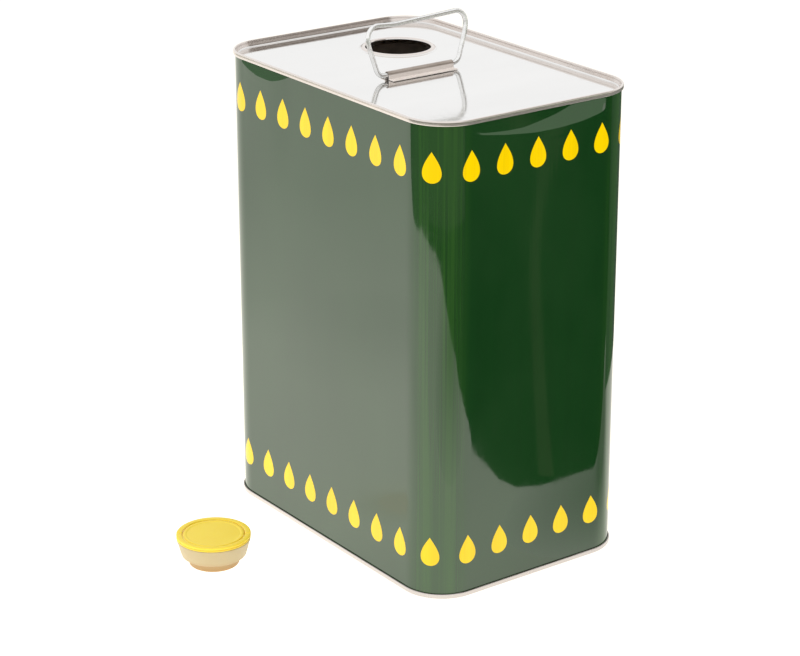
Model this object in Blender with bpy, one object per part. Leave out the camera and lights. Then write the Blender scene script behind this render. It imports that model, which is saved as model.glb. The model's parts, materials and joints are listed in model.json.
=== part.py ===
"""A ten-litre rectangular oil tin: a tinplate body blank, two double-seamed ends, a wire bail handle
held by a spot-welded saddle, and a 42 mm press-in plastic closure that lies beside the tin.

Units are metres, +Z is up. The origin is on the floor, midway between the tin's back and the closure's
front, so it is the centre of the footprint of everything that stands there.
"""

import math

import bmesh
import bpy
from mathutils import Matrix, Vector

MM = 0.001

# ---- driving dimensions -------------------------------------------------------------------------------

BODY_LENGTH = 230 * MM          # outside of the body blank along X
BODY_WIDTH = 155 * MM           # outside of the body blank along Y
BODY_CORNER = 27 * MM           # outside radius of its upright corners
HEIGHT = 305 * MM               # from the foot of the bottom seam to the crest of the top seam
PLATE = 0.3 * MM                # tinplate
GAP = 0.3 * MM                  # between neighbouring pieces
CORNER_STEPS = 10

SEAM_HEIGHT = 3.2 * MM
SEAM_PROUD = 1.2 * MM           # how far a double seam stands out from the body
COUNTERSINK = 4.2 * MM          # from the seam's crest down to the end panel
PANEL_FILLET = 1.2 * MM         # between the chuck wall and the panel

LAP_WIDTH = 7 * MM              # welded lap of the body blank, on the narrow side at -X
LAP_RISE = 0.25 * MM
LAP_END = 5 * MM                # the lap stops this far short of the body's ends

NECK_X = -57 * MM               # neck hole, from the tin's centre
NECK_Y = 22 * MM
NECK_RADIUS = 21 * MM
NECK_LIP_RISE = 1.2 * MM
NECK_LIP_WIDTH = 3.6 * MM
NECK_DEPTH = 2.6 * MM

WIRE_RADIUS = 1.5 * MM
HANDLE_X = 4 * MM               # hinge axis, from the tin's centre
HANDLE_RISE = 3 * MM            # hinge axis above the top panel
HANDLE_LEAN = math.radians(-5)
GRIP_FRONT = -44 * MM           # wire centres of the loop's two sides, along Y from the tin's centre
GRIP_BACK = 31.2 * MM
GRIP_FRONT_HEIGHT = 32.3 * MM   # wire centre at the grip's ends and its slight dip, above the hinge axis
GRIP_DIP = -24 * MM
GRIP_DIP_HEIGHT = 30.7 * MM
GRIP_BACK_HEIGHT = 33 * MM
SADDLE_FRONT = -31 * MM
SADDLE_BACK = 18.7 * MM
SADDLE_STRIP = 0.5 * MM
SADDLE_FLANGE = 7 * MM          # half width over both flanges

CLOSURE_X = -17 * MM            # where the closure stands, from the tin's centre
CLOSURE_Y = -152 * MM
CLOSURE_TURN = math.radians(53.3)
CLOSURE_HEIGHT = 20.1 * MM
CAP_RADIUS = 23.6 * MM
FLANGE_RADIUS = 23.4 * MM       # top of the cream body
SHOULDER_RADIUS = 22.8 * MM
SKIRT_RADIUS = 20.4 * MM        # foot of the tapering skirt
FOOT_RADIUS = 16.0 * MM         # the plug's sleeve, which the closure stands on
FOOT_HEIGHT = 5.9 * MM
TURN_STEPS = 48

# ---- derived places -----------------------------------------------------------------------------------

CAN_Y = (CAP_RADIUS - CLOSURE_Y - BODY_WIDTH / 2 - SEAM_PROUD) / 2
CAN = Vector((0, CAN_Y, 0))
PANEL_TOP = HEIGHT - COUNTERSINK
HINGE_Z = PANEL_TOP + HANDLE_RISE
CLOSURE = CAN + Vector((CLOSURE_X, CLOSURE_Y, 0))

# Colours as linear RGB, then roughness and metallic.
PAINT = ((0.012, 0.075, 0.022), 0.28, 0.0)
TIN = ((0.74, 0.73, 0.71), 0.16, 1.0)
STEEL_WIRE = ((0.62, 0.62, 0.62), 0.22, 1.0)
COMPOUND = ((0.30, 0.28, 0.25), 0.8, 0.0)
CREAM = ((0.76, 0.67, 0.48), 0.45, 0.0)
YELLOW = ((0.93, 0.68, 0.06), 0.4, 0.0)


# ---- making objects -----------------------------------------------------------------------------------

def material(name, finish):
    """A Principled material from a colour, a roughness and a metallic value."""
    colour, roughness, metallic = finish
    made = bpy.data.materials.new(name)
    made.use_nodes = True
    shader = made.node_tree.nodes["Principled BSDF"]
    shader.inputs["Base Color"].default_value = (*colour, 1.0)
    shader.inputs["Roughness"].default_value = roughness
    shader.inputs["Metallic"].default_value = metallic
    return made


def finished(name, mesh, place, turn, finish):
    """Put a mesh in the scene as one named, smooth-shaded object with its own material."""
    mesh.materials.append(material(name, finish))
    mesh.shade_smooth()
    mesh.set_sharp_from_angle(angle=math.radians(35))
    piece = bpy.data.objects.new(name, mesh)
    piece.location = place
    piece.rotation_euler = turn
    bpy.context.scene.collection.objects.link(piece)
    return piece


def mesh_from(name, work):
    """Close a bmesh off into a mesh with outward faces."""
    bmesh.ops.recalc_face_normals(work, faces=work.faces)
    mesh = bpy.data.meshes.new(name)
    work.to_mesh(mesh)
    work.free()
    return mesh


def bridge(work, loops, around=True):
    """Join neighbouring loops of equal length with quads; `around` closes the last onto the first."""
    pairs = zip(loops, loops[1:] + loops[:1]) if around else zip(loops, loops[1:])
    for first, second in pairs:
        for i in range(len(first)):
            j = (i + 1) % len(first)
            work.faces.new((first[i], first[j], second[j], second[i]))


def fill(work, *loops):
    """Fill the flat region inside the first loop and outside the others."""
    edges = []
    for loop in loops:
        for i, vertex in enumerate(loop):
            edges.append(work.edges.get((vertex, loop[(i + 1) % len(loop)])))
    bmesh.ops.triangle_fill(work, edges=edges, use_beauty=True)


def arc(centre, radius, start, end, steps):
    """Points along an arc in a plane, in degrees, both ends included."""
    points = []
    for i in range(steps + 1):
        angle = math.radians(start + (end - start) * i / steps)
        points.append((centre[0] + radius * math.cos(angle), centre[1] + radius * math.sin(angle)))
    return points


def turned(name, profile, turn, finish, closed=False):
    """Turn a profile of (radius, height) about the closure's axis. An open profile ends on the axis."""
    work = bmesh.new()
    loops = []
    for radius, z in profile:
        if radius == 0:
            loops.append([work.verts.new((0, 0, z))])
            continue
        angles = (2 * math.pi * i / TURN_STEPS for i in range(TURN_STEPS))
        loops.append([work.verts.new((radius * math.cos(a), radius * math.sin(a), z)) for a in angles])
    rings = [loop for loop in loops if len(loop) > 1]
    bridge(work, rings, around=closed)
    if not closed:
        for pole, ring in ((loops[0][0], rings[0]), (loops[-1][0], rings[-1])):
            for i in range(TURN_STEPS):
                work.faces.new((pole, ring[i], ring[(i + 1) % TURN_STEPS]))
    return finished(name, mesh_from(name, work), CLOSURE, (0, 0, turn), finish)


# ---- the tin's outline --------------------------------------------------------------------------------

def outline():
    """The body's outside outline: (point, outward normal, lap share), anticlockwise from the +X side."""
    places = []
    for turn, sx, sy in ((0, 1, 1), (90, -1, 1), (180, -1, -1), (270, 1, -1)):
        centre = Vector((sx * (BODY_LENGTH / 2 - BODY_CORNER), sy * (BODY_WIDTH / 2 - BODY_CORNER)))
        for i in range(CORNER_STEPS + 1):
            angle = math.radians(turn + 90 * i / CORNER_STEPS)
            normal = Vector((math.cos(angle), math.sin(angle)))
            places.append((centre + BODY_CORNER * normal, normal, 0))
        if turn == 90:
            for share, y in ((0, 1), (1, 0.9), (1, -0.9), (0, -1)):
                point = Vector((-BODY_LENGTH / 2, y * LAP_WIDTH / 2))
                places.append((point, Vector((-1, 0)), share))
    return places


def outline_loop(work, offset, z, lap=0.0):
    """One loop around the tin at an offset outward from the body's outside face."""
    loop = []
    for point, normal, share in outline():
        spot = point + normal * (offset + lap * share)
        loop.append(work.verts.new((spot.x, spot.y, z)))
    return loop


# ---- pieces of the tin --------------------------------------------------------------------------------

def end_section():
    """A seamed end's section as (offset, depth below the seam's crest), from the panel's upper face
    over the seam, round the hook and back under to the panel's lower face."""
    wall = -0.95 * MM
    inner_fillet = (wall - PANEL_FILLET, -COUNTERSINK + PANEL_FILLET)
    crest = 0.45 * MM
    chuck_top = -PLATE
    hook_inner = SEAM_PROUD - PLATE
    hook_tip = GAP
    upper = arc(inner_fillet, PANEL_FILLET, -90, 0, 3)
    upper += arc((chuck_top + crest, -crest), crest, 180, 90, 2)
    upper += arc((SEAM_PROUD - crest, -crest), crest, 90, 0, 2)
    upper += arc((SEAM_PROUD - crest, -SEAM_HEIGHT + crest), crest, 0, -90, 2)
    upper += [(hook_tip, -SEAM_HEIGHT)]
    bend = crest - PLATE
    lower = [(hook_tip, -SEAM_HEIGHT + PLATE)]
    lower += arc((hook_inner - bend, -SEAM_HEIGHT + crest), bend, -90, 0, 1)
    lower += arc((hook_inner - bend, -crest), bend, 0, 90, 1)
    lower += arc((chuck_top + crest, -crest), bend, 90, 180, 1)
    lower += arc(inner_fillet, PANEL_FILLET + PLATE, 0, -90, 3)
    return upper + lower


def neck_section():
    """The neck hole's pressed lip as (radius, height above the panel), from the panel's upper face over
    the lip, down the neck and back up to the panel's lower face."""
    foot = NECK_RADIUS + NECK_LIP_WIDTH
    crown = NECK_RADIUS + NECK_LIP_RISE
    skin = [(foot, 0), (foot - 0.7 * MM, 0.15 * MM), (foot - 1.6 * MM, NECK_LIP_RISE - 0.25 * MM)]
    skin += arc((crown, 0), NECK_LIP_RISE, 80, 180, 4)
    skin += [(NECK_RADIUS, -NECK_DEPTH), (NECK_RADIUS + PLATE, -NECK_DEPTH)]
    skin += arc((crown, 0), NECK_LIP_RISE - PLATE, 180, 80, 4)
    skin += [(foot - 1.75 * MM, NECK_LIP_RISE - 0.5 * MM), (foot - 0.8 * MM, -0.15 * MM), (foot, -PLATE)]
    return skin


def tin_end(name, top):
    """One pressed end with its half of the double seam; the top one has the neck hole."""
    crest, side = (HEIGHT, 1) if top else (0, -1)
    work = bmesh.new()
    loops = [outline_loop(work, offset, crest + side * z) for offset, z in end_section()]
    bridge(work, loops, around=False)
    outer, inner = [loops[0]], [loops[-1]]
    if top:
        hole = []
        for radius, rise in neck_section():
            angles = (2 * math.pi * i / TURN_STEPS for i in range(TURN_STEPS))
            spots = [(NECK_X + radius * math.cos(a), NECK_Y + radius * math.sin(a)) for a in angles]
            hole.append([work.verts.new((x, y, PANEL_TOP + rise)) for x, y in spots])
        bridge(work, hole, around=False)
        outer.append(hole[0])
        inner.append(hole[-1])
    fill(work, *outer)
    fill(work, *inner)
    return finished(name, mesh_from(name, work), CAN, (0, 0, 0), TIN)


def body_shell():
    """The body blank, wrapped and lap welded, with a flange at each end that the seams hook over."""
    flange_tip = SEAM_PROUD - PLATE - GAP
    flange_top = HEIGHT - 4 * PLATE
    neck = HEIGHT - SEAM_HEIGHT + PLATE
    half = [
        (0.0, HEIGHT - LAP_END - LAP_RISE, 0),
        (0.0, neck, 0),
        (0.35 * MM, flange_top - PLATE, 0),
        (flange_tip, flange_top - PLATE, 0),
        (flange_tip, flange_top, 0),
        (0.12 * MM, flange_top, 0),
        (-PLATE, neck, 0),
    ]
    section = [(0.0, HEIGHT - LAP_END - 2 * LAP_RISE, LAP_RISE)] + half
    section += [(offset, HEIGHT - z, 0) for offset, z, _ in reversed(half)]
    section += [(0.0, LAP_END + 2 * LAP_RISE, LAP_RISE)]
    work = bmesh.new()
    loops = [outline_loop(work, offset, z, lap) for offset, z, lap in section]
    bridge(work, loops)
    return finished("body_shell", mesh_from("body_shell", work), CAN, (0, 0, 0), PAINT)


def seam_compound(name, top):
    """The ring of sealing compound inside a double seam."""
    crest, side = (HEIGHT, 1) if top else (0, -1)
    inside, outside = 0.25 * MM, SEAM_PROUD - PLATE - GAP
    high, low = PLATE + GAP, PLATE + 2 * GAP
    section = ((inside, high), (outside, high), (outside, low), (inside, low))
    work = bmesh.new()
    bridge(work, [outline_loop(work, offset, crest - side * depth) for offset, depth in section])
    return finished(name, mesh_from(name, work), CAN, (0, 0, 0), COMPOUND)


# ---- handle -------------------------------------------------------------------------------------------

def handle_saddle():
    """An omega-section strip over the wire, with a flange each side for its spot welds."""
    bore = WIRE_RADIUS + GAP
    back = bore + SADDLE_STRIP
    foot = GAP - HANDLE_RISE
    section = [(-SADDLE_FLANGE, foot), (-bore, foot)]
    section += arc((0, 0), bore, 180, 0, 10)
    section += [(bore, foot), (SADDLE_FLANGE, foot), (SADDLE_FLANGE, foot + SADDLE_STRIP)]
    section += [(back, foot + SADDLE_STRIP)]
    section += arc((0, 0), back, 0, 180, 10)
    section += [(-back, foot + SADDLE_STRIP), (-SADDLE_FLANGE, foot + SADDLE_STRIP)]
    work = bmesh.new()
    ends = [[work.verts.new((x, y, z)) for x, z in section] for y in (SADDLE_FRONT, SADDLE_BACK)]
    bridge(work, ends, around=False)
    for end in ends:
        work.faces.new(end)
    place = CAN + Vector((HANDLE_X, 0, HINGE_Z))
    return finished("handle_saddle", mesh_from("handle_saddle", work), place, (0, 0, 0), TIN)


def rounded_path(corners):
    """Points along a polygon of (y, z, bend radius) whose inner corners are rounded to their radii."""
    path = [Vector(corners[0][:2])]
    for before, here, after in zip(corners, corners[1:], corners[2:]):
        corner = Vector(here[:2])
        back = (Vector(before[:2]) - corner).normalized()
        ahead = (Vector(after[:2]) - corner).normalized()
        half = back.angle(ahead) / 2
        run = here[2] / math.tan(half)
        centre = corner + (back + ahead).normalized() * here[2] / math.sin(half)
        start = corner + back * run - centre
        sweep = start.angle_signed(corner + ahead * run - centre)
        steps = max(3, round(abs(sweep) / math.radians(11)))
        for i in range(steps + 1):
            spoke = Matrix.Rotation(-sweep * i / steps, 2) @ start
            path.append(centre + spoke)
    path.append(Vector(corners[-1][:2]))
    return path


def handle_wire():
    """The wire bail, from inside the saddle out, over the grip and back in. Its origin is on the hinge."""
    wrist = 5.5 * MM
    waist = 26 * MM
    knuckle = 7.5 * MM
    slight = 45 * MM
    waist_height = 21 * MM
    corners = (
        (SADDLE_FRONT + 20 * MM, 0, 0),
        (SADDLE_FRONT - 6.4 * MM, 0, wrist),
        (GRIP_FRONT, waist_height, waist),
        (GRIP_FRONT, GRIP_FRONT_HEIGHT, knuckle),
        (GRIP_DIP, GRIP_DIP_HEIGHT, slight),
        (GRIP_BACK, GRIP_BACK_HEIGHT, knuckle),
        (GRIP_BACK, waist_height, waist),
        (SADDLE_BACK + 4.9 * MM, 0, wrist),
        (SADDLE_BACK - 20 * MM, 0, 0),
    )
    path = rounded_path(corners)
    curve = bpy.data.curves.new("handle_wire", "CURVE")
    curve.dimensions = "3D"
    curve.bevel_depth = WIRE_RADIUS
    curve.bevel_resolution = 3
    curve.use_fill_caps = True
    spline = curve.splines.new("POLY")
    spline.points.add(len(path) - 1)
    for point, spot in zip(spline.points, path):
        point.co = (0, spot.x, spot.y, 1)
    curve.materials.append(material("handle_wire", STEEL_WIRE))
    wire = bpy.data.objects.new("handle_wire", curve)
    wire.location = CAN + Vector((HANDLE_X, 0, HINGE_Z))
    wire.rotation_euler = (0, HANDLE_LEAN, 0)
    bpy.context.scene.collection.objects.link(wire)
    return wire


# ---- closure ------------------------------------------------------------------------------------------

WALL = 1.3 * MM                 # cream body
MEMBRANE = 1 * MM               # tear-out floor of the plug
SLEEVE_TOP = 12.5 * MM
SPOUT_RADIUS = 14 * MM
SPOUT_WALL = 1.2 * MM
BEAD = 0.4 * MM                 # foot bead that keeps the spout in its sleeve
CAP_BASE = CLOSURE_HEIGHT - 2.5 * MM
RING_BASE = CLOSURE_HEIGHT - 1.4 * MM
RING_INNER = 20.1 * MM
DISC_RADIUS = 19.3 * MM
DISC_TOP = CLOSURE_HEIGHT - 0.2 * MM


def closure_body():
    """The cream plug: a tapering skirt, a ring across, and a sleeve with a tear-out floor."""
    sleeve = FOOT_RADIUS - WALL
    lip = SPOUT_RADIUS + GAP
    top = CAP_BASE - GAP
    waist = 14.5 * MM
    step = FOOT_HEIGHT + WALL
    profile = [(0, 0), (FOOT_RADIUS - 0.8 * MM, 0), (FOOT_RADIUS, 0.8 * MM), (FOOT_RADIUS, FOOT_HEIGHT)]
    profile += [(SKIRT_RADIUS - 0.9 * MM, FOOT_HEIGHT), (SKIRT_RADIUS, FOOT_HEIGHT + 0.7 * MM)]
    profile += [(SHOULDER_RADIUS, waist), (FLANGE_RADIUS, top - 0.8 * MM), (FLANGE_RADIUS, top)]
    profile += [(FLANGE_RADIUS - WALL, top), (SHOULDER_RADIUS - WALL, waist), (SKIRT_RADIUS - WALL, step)]
    profile += [(FOOT_RADIUS, step), (FOOT_RADIUS, SLEEVE_TOP), (lip, SLEEVE_TOP)]
    profile += [(lip, SLEEVE_TOP - 0.8 * MM), (sleeve, SLEEVE_TOP - 1.2 * MM), (sleeve, MEMBRANE)]
    profile += [(0, MEMBRANE)]
    return turned("closure_body", profile, 0, CREAM)


def pouring_spout():
    """The tube that pulls up out of the plug, with a bead at its foot."""
    foot = MEMBRANE + GAP
    top = CAP_BASE - 0.1 * MM
    bore = SPOUT_RADIUS - SPOUT_WALL
    profile = [(bore, foot), (SPOUT_RADIUS + BEAD, foot), (SPOUT_RADIUS + BEAD, foot + 1 * MM)]
    profile += [(SPOUT_RADIUS, foot + 1.4 * MM), (SPOUT_RADIUS, top - 0.4 * MM)]
    profile += [(SPOUT_RADIUS - 0.4 * MM, top), (bore, top)]
    return turned("pouring_spout", profile, 0, CREAM, closed=True)


def closure_cap():
    """The yellow cap: a raised disc, a shoulder that the pull rings lie on, and a skirt on the spout."""
    ledge = RING_BASE - GAP
    disc = DISC_RADIUS
    skirt = SPOUT_RADIUS + GAP
    skirt_foot = SLEEVE_TOP + 0.7 * MM
    profile = [(0, CAP_BASE + GAP), (skirt, CAP_BASE + GAP), (skirt, skirt_foot)]
    profile += [(skirt + WALL, skirt_foot), (skirt + WALL, CAP_BASE), (CAP_RADIUS - 0.3 * MM, CAP_BASE)]
    profile += [(CAP_RADIUS, CAP_BASE + 0.3 * MM), (CAP_RADIUS, ledge), (disc, ledge)]
    profile += [(disc, DISC_TOP - 0.3 * MM), (disc - 0.3 * MM, DISC_TOP), (0, DISC_TOP)]
    return turned("closure_cap", profile, CLOSURE_TURN, YELLOW)


def pull_ring(name, side):
    """A half ring on the cap's shoulder whose round ends turn on its own axis. `side` is -1 for the
    ring at the front and 1 for the one behind; its origin is on its axis, above the cap's centre."""
    rho = (CLOSURE_HEIGHT - RING_BASE) / 2
    axis_y = rho + 0.2 * MM
    steps = 28
    bevel = 0.25 * MM
    section = ((RING_INNER, rho), (CAP_RADIUS - bevel, rho), (CAP_RADIUS, rho - bevel), (CAP_RADIUS, -rho))
    section += ((RING_INNER, -rho),)
    work = bmesh.new()
    stations = []
    for i in range(steps + 1):
        station = []
        for radius, z in section:
            start = math.asin(axis_y / radius)
            angle = start + (math.pi - 2 * start) * i / steps
            x, y = radius * math.cos(angle), radius * math.sin(angle) - axis_y
            station.append(work.verts.new((x, side * y, z)))
        stations.append(station)
    bridge(work, stations, around=False)
    for station in (stations[0], stations[-1]):
        knuckle_end(work, station, side, rho)
    place = CLOSURE + Vector((0, 0, RING_BASE + rho))
    place += Matrix.Rotation(CLOSURE_TURN, 3, "Z") @ Vector((0, side * axis_y, 0))
    return finished(name, mesh_from(name, work), place, (0, 0, CLOSURE_TURN), YELLOW)


def knuckle_end(work, station, side, rho):
    """Close a ring's end with a half round about its axis, from the section's top edge to its foot."""
    top_in, top_out, bevel_out, foot_out, foot_in = station
    steps = 6
    inner, outer = [top_in], [top_out]
    for i in range(1, steps):
        angle = math.pi * i / steps
        y, z = -side * rho * math.sin(angle), rho * math.cos(angle)
        inner.append(work.verts.new((top_in.co.x, y, z)))
        outer.append(work.verts.new((foot_out.co.x, y, z)))
    inner.append(foot_in)
    outer.append(foot_out)
    for i in range(steps):
        work.faces.new((inner[i], outer[i], outer[i + 1], inner[i + 1]))
    work.faces.new(inner)
    work.faces.new(outer + [bevel_out])


# ---- assembly -----------------------------------------------------------------------------------------

def build():
    """Clear the scene and make every piece."""
    for old in list(bpy.data.objects):
        bpy.data.objects.remove(old)
    body_shell()
    tin_end("top_end", top=True)
    tin_end("bottom_end", top=False)
    seam_compound("top_seam_compound", top=True)
    seam_compound("bottom_seam_compound", top=False)
    handle_saddle()
    handle_wire()
    closure_body()
    pouring_spout()
    closure_cap()
    pull_ring("pull_ring_front", -1)
    pull_ring("pull_ring_back", 1)


build()
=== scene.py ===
"""The looks of a ten-litre rectangular oil tin and the plastic closure that stands beside it.

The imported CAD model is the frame. Every visible piece is made again here as a finer mesh that keeps the
frame's places and sizes, and gets a procedural finish. Lengths are in metres, +Z is up.
"""

import json
import logging
import math
from dataclasses import dataclass
from enum import Enum
from typing import Callable, Iterable, Sequence

import bmesh
import bpy
import numpy as np
from mathutils import Matrix, Vector


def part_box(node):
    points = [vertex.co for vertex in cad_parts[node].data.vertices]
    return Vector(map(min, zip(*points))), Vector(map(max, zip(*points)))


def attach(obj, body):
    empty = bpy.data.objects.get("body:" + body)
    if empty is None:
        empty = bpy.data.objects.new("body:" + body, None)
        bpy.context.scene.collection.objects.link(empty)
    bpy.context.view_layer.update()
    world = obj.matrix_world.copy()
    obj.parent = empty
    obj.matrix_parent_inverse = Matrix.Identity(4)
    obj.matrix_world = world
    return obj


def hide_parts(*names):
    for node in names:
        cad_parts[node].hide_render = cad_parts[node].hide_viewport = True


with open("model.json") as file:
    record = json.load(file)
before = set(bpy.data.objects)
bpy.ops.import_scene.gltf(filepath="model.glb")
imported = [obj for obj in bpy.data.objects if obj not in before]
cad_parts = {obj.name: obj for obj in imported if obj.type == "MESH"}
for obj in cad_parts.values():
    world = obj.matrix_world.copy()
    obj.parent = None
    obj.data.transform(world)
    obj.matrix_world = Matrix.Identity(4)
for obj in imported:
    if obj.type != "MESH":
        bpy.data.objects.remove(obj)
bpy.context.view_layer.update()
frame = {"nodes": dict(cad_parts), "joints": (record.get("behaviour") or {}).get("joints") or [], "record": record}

log = logging.getLogger("oil_tin")
MM = 0.001
SHARP_EDGE = math.radians(38)
SAME_POINT = 1e-7
Point2 = tuple[float, float]
Point3 = tuple[float, float, float]
Colour = tuple[float, float, float]


class Place(Enum):
    """Which end of the tin a piece closes; the value points outward along Z."""

    TOP = 1
    BOTTOM = -1


class Ring(Enum):
    """The cap's two pull rings; the value is the side of the split line that each lies on."""

    FRONT = -1
    BACK = 1


# ---- small geometry tools ------------------------------------------------------------------------------


def arc(centre: Point2, radius: float, start: float, end: float, steps: int) -> list[Point2]:
    """Points along an arc, both ends included.

    Args:
        centre: The arc's centre.
        radius: Its radius.
        start: First angle in degrees.
        end: Last angle in degrees.
        steps: How many chords make the arc.

    Returns:
        The points in order.
    """
    angles = [math.radians(start + (end - start) * i / steps) for i in range(steps + 1)]
    return [(centre[0] + radius * math.cos(a), centre[1] + radius * math.sin(a)) for a in angles]


def filleted(corners: Sequence[tuple[float, float, float]], steps: int = 5) -> list[Point2]:
    """Round the inner corners of an open polygon.

    Args:
        corners: (x, y, radius) for each corner; the two ends stay as they are.
        steps: Chords for each rounded corner.

    Returns:
        The rounded polygon's points.
    """
    path = [tuple(corners[0][:2])]
    for before, here, after in zip(corners, corners[1:], corners[2:]):
        corner, radius = Vector(here[:2]), here[2]
        back = (Vector(before[:2]) - corner).normalized()
        ahead = (Vector(after[:2]) - corner).normalized()
        half = back.angle(ahead) / 2
        if radius <= 0 or abs(half - math.pi / 2) < 1e-4:
            path.append(tuple(corner))
            continue
        centre = corner + (back + ahead).normalized() * radius / math.sin(half)
        run = radius / math.tan(half)
        start, end = corner + back * run - centre, corner + ahead * run - centre
        sweep = start.angle_signed(end)
        path += [tuple(centre + Matrix.Rotation(-sweep * i / steps, 2) @ start) for i in range(steps + 1)]
    path.append(tuple(corners[-1][:2]))
    return path


def smooth(value: float) -> float:
    """Ease from 0 to 1 as value goes from 0 to 1, flat at both ends and beyond."""
    t = min(1.0, max(0.0, value))
    return t * t * (3 - 2 * t)


def ease(value: float, blend: float = 0.2) -> float:
    """A straight ramp from 0 to 1 whose two ends are rounded over a share `blend` of its run."""
    t = min(1.0, max(0.0, value))
    steep = 1 / (1 - blend)
    if t < blend:
        return steep * t * t / (2 * blend)
    if t > 1 - blend:
        return 1 - steep * (1 - t) ** 2 / (2 * blend)
    return steep * (t - blend / 2)


def add_object(name: str, data: bpy.types.ID) -> bpy.types.Object:
    """Put a new object in the scene, at the origin."""
    thing = bpy.data.objects.new(name, data)
    bpy.context.scene.collection.objects.link(thing)
    return thing


def piece_from_mesh(
    name: str, mesh: bpy.types.Mesh, finishes: Sequence[bpy.types.Material] = ()
) -> bpy.types.Object:
    """Put a finished mesh in the scene as one smooth-shaded object at the origin.

    Args:
        name: The piece's name.
        mesh: Its mesh, already in place.
        finishes: The materials of its slots.

    Returns:
        The object.
    """
    for finish in finishes:
        mesh.materials.append(finish)
    mesh.shade_smooth()
    mesh.set_sharp_from_angle(angle=SHARP_EDGE)
    return add_object(name, mesh)


def add_skin(
    work: bmesh.types.BMesh,
    lines: Sequence[Sequence[Sequence[float]]],
    ring: bool = False,
    loops: bool = True,
    inner: range = range(0),
) -> list[list[bmesh.types.BMVert]]:
    """Skin a row of lines of points with four-sided faces.

    Args:
        work: The mesh in the making.
        lines: Lines of points, all of one length.
        ring: Whether the last line joins the first.
        loops: Whether each line closes on itself.
        inner: Places along the lines where faces take the second material slot.

    Returns:
        The vertices, line by line.
    """
    verts = [[work.verts.new(point) for point in line] for line in lines]
    count = len(verts[0])
    for here, beside in zip(verts, verts[1:] + verts[:1] if ring else verts[1:]):
        for i in range(count if loops else count - 1):
            j = (i + 1) % count
            face = work.faces.new((here[i], beside[i], beside[j], here[j]))
            face.material_index = int(i in inner)
    return verts


def finished_mesh(name: str, work: bmesh.types.BMesh, merge: bool = True) -> bpy.types.Mesh:
    """End a mesh in the making: merge its doubles if asked, and turn its faces outward."""
    if merge:
        bmesh.ops.remove_doubles(work, verts=work.verts, dist=SAME_POINT)
        bmesh.ops.dissolve_degenerate(work, edges=work.edges, dist=SAME_POINT / 10)
    bmesh.ops.recalc_face_normals(work, faces=work.faces)
    mesh = bpy.data.meshes.new(name)
    work.to_mesh(mesh)
    work.free()
    return mesh


def grid_mesh(
    name: str, columns: Sequence[Sequence[Point3]], close_rows: bool = False, inner_rows: range = range(0)
) -> bpy.types.Mesh:
    """Make a closed skin from columns of points that go once around a piece.

    Args:
        name: The mesh's name.
        columns: Columns of points, which always close on themselves.
        close_rows: Whether the last row joins the first; if not, the end rows are poles.
        inner_rows: Rows of faces that take the second material slot.

    Returns:
        A mesh whose faces point outward.
    """
    work = bmesh.new()
    add_skin(work, columns, ring=True, loops=close_rows, inner=inner_rows)
    return finished_mesh(name, work)


def dress(piece: bpy.types.Object, body: str, slot: str, *nodes: str) -> bpy.types.Object:
    """Ride a piece on a body, let it stand for CAD nodes, and report it.

    Args:
        piece: The finished piece.
        body: The body it moves with.
        slot: The record's material slot; not used.
        nodes: The CAD nodes that it replaces.

    Returns:
        The piece.
    """
    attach(piece, body)
    if nodes:
        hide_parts(*nodes)
    log.info("%s: %d faces, rides on %s", piece.name, len(piece.data.polygons), body)
    return piece


# ---- the tin's outline and sizes -----------------------------------------------------------------------


@dataclass(frozen=True)
class Station:
    """A place on the body's outline: its point and outward normal, its side, and where it is along that
    side, as a share from -1 to 1 and in metres from the side's middle."""

    point: Vector
    normal: Vector
    side: str
    share: float
    aside: float

    def stand(self, section: Iterable[Point2]) -> list[Point3]:
        """Stand a section, given as (outward offset, height), at this station."""
        return [(*(self.point + self.normal * out), z) for out, z in section]


@dataclass(frozen=True)
class Outline:
    """The rounded rectangle of the body's outside, walked anticlockwise from the middle of the
    corner between +X and -Y."""

    centre: Vector
    half_x: float
    half_y: float
    corner: float

    def segments(self) -> list[tuple[str, float]]:
        """The outline's stretches in order, as a name and a length."""
        bend = math.pi * self.corner / 2
        long, short = 2 * (self.half_x - self.corner), 2 * (self.half_y - self.corner)
        order = [("corner", bend / 2), ("+X", short), ("corner", bend), ("+Y", long)]
        order += [("corner", bend), ("-X", short), ("corner", bend), ("-Y", long), ("corner", bend / 2)]
        return order

    def length(self) -> float:
        """The whole way around."""
        return sum(length for _, length in self.segments())

    def at(self, distance: float) -> Station:
        """The place at a distance along the outline.

        Args:
            distance: Metres from the starting corner's middle, anticlockwise.

        Returns:
            The station there.
        """
        left, turn = distance % self.length(), -45.0
        start = Vector((self.half_x - self.corner, -self.half_y + self.corner))
        centre = start.copy()
        for name, length in self.segments():
            here = min(left, length)
            if name == "corner":
                angle = math.radians(turn) + here / self.corner
                normal = Vector((math.cos(angle), math.sin(angle)))
                if left <= length:
                    return Station(self.centre.xy + centre + normal * self.corner, normal, name, 0.0, 0.0)
                turn += math.degrees(length / self.corner)
            else:
                normal = Vector((math.cos(math.radians(turn)), math.sin(math.radians(turn))))
                along = Vector((-normal.y, normal.x))
                if left <= length:
                    point = self.centre.xy + centre + normal * self.corner + along * here
                    return Station(point, normal, name, 2 * here / length - 1, here - length / 2)
                centre += along * length
            left -= length
        raise ValueError("the outline's stretches don't add up to its length")

    def stations(self, corner_steps: int, pitch: float) -> list[Station]:
        """Places all the way around, close enough together for a smooth skin.

        Args:
            corner_steps: Steps in a quarter turn.
            pitch: The longest step on a straight side.

        Returns:
            The stations in order, the first at the starting corner's middle.
        """
        places, done = [], 0.0
        for name, length in self.segments():
            steps = corner_steps if name == "corner" else math.ceil(length / pitch)
            if name == "corner" and length < self.corner:
                steps = corner_steps // 2
            places += [self.at(done + length * i / steps) for i in range(steps)]
            done += length
        return places


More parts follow.
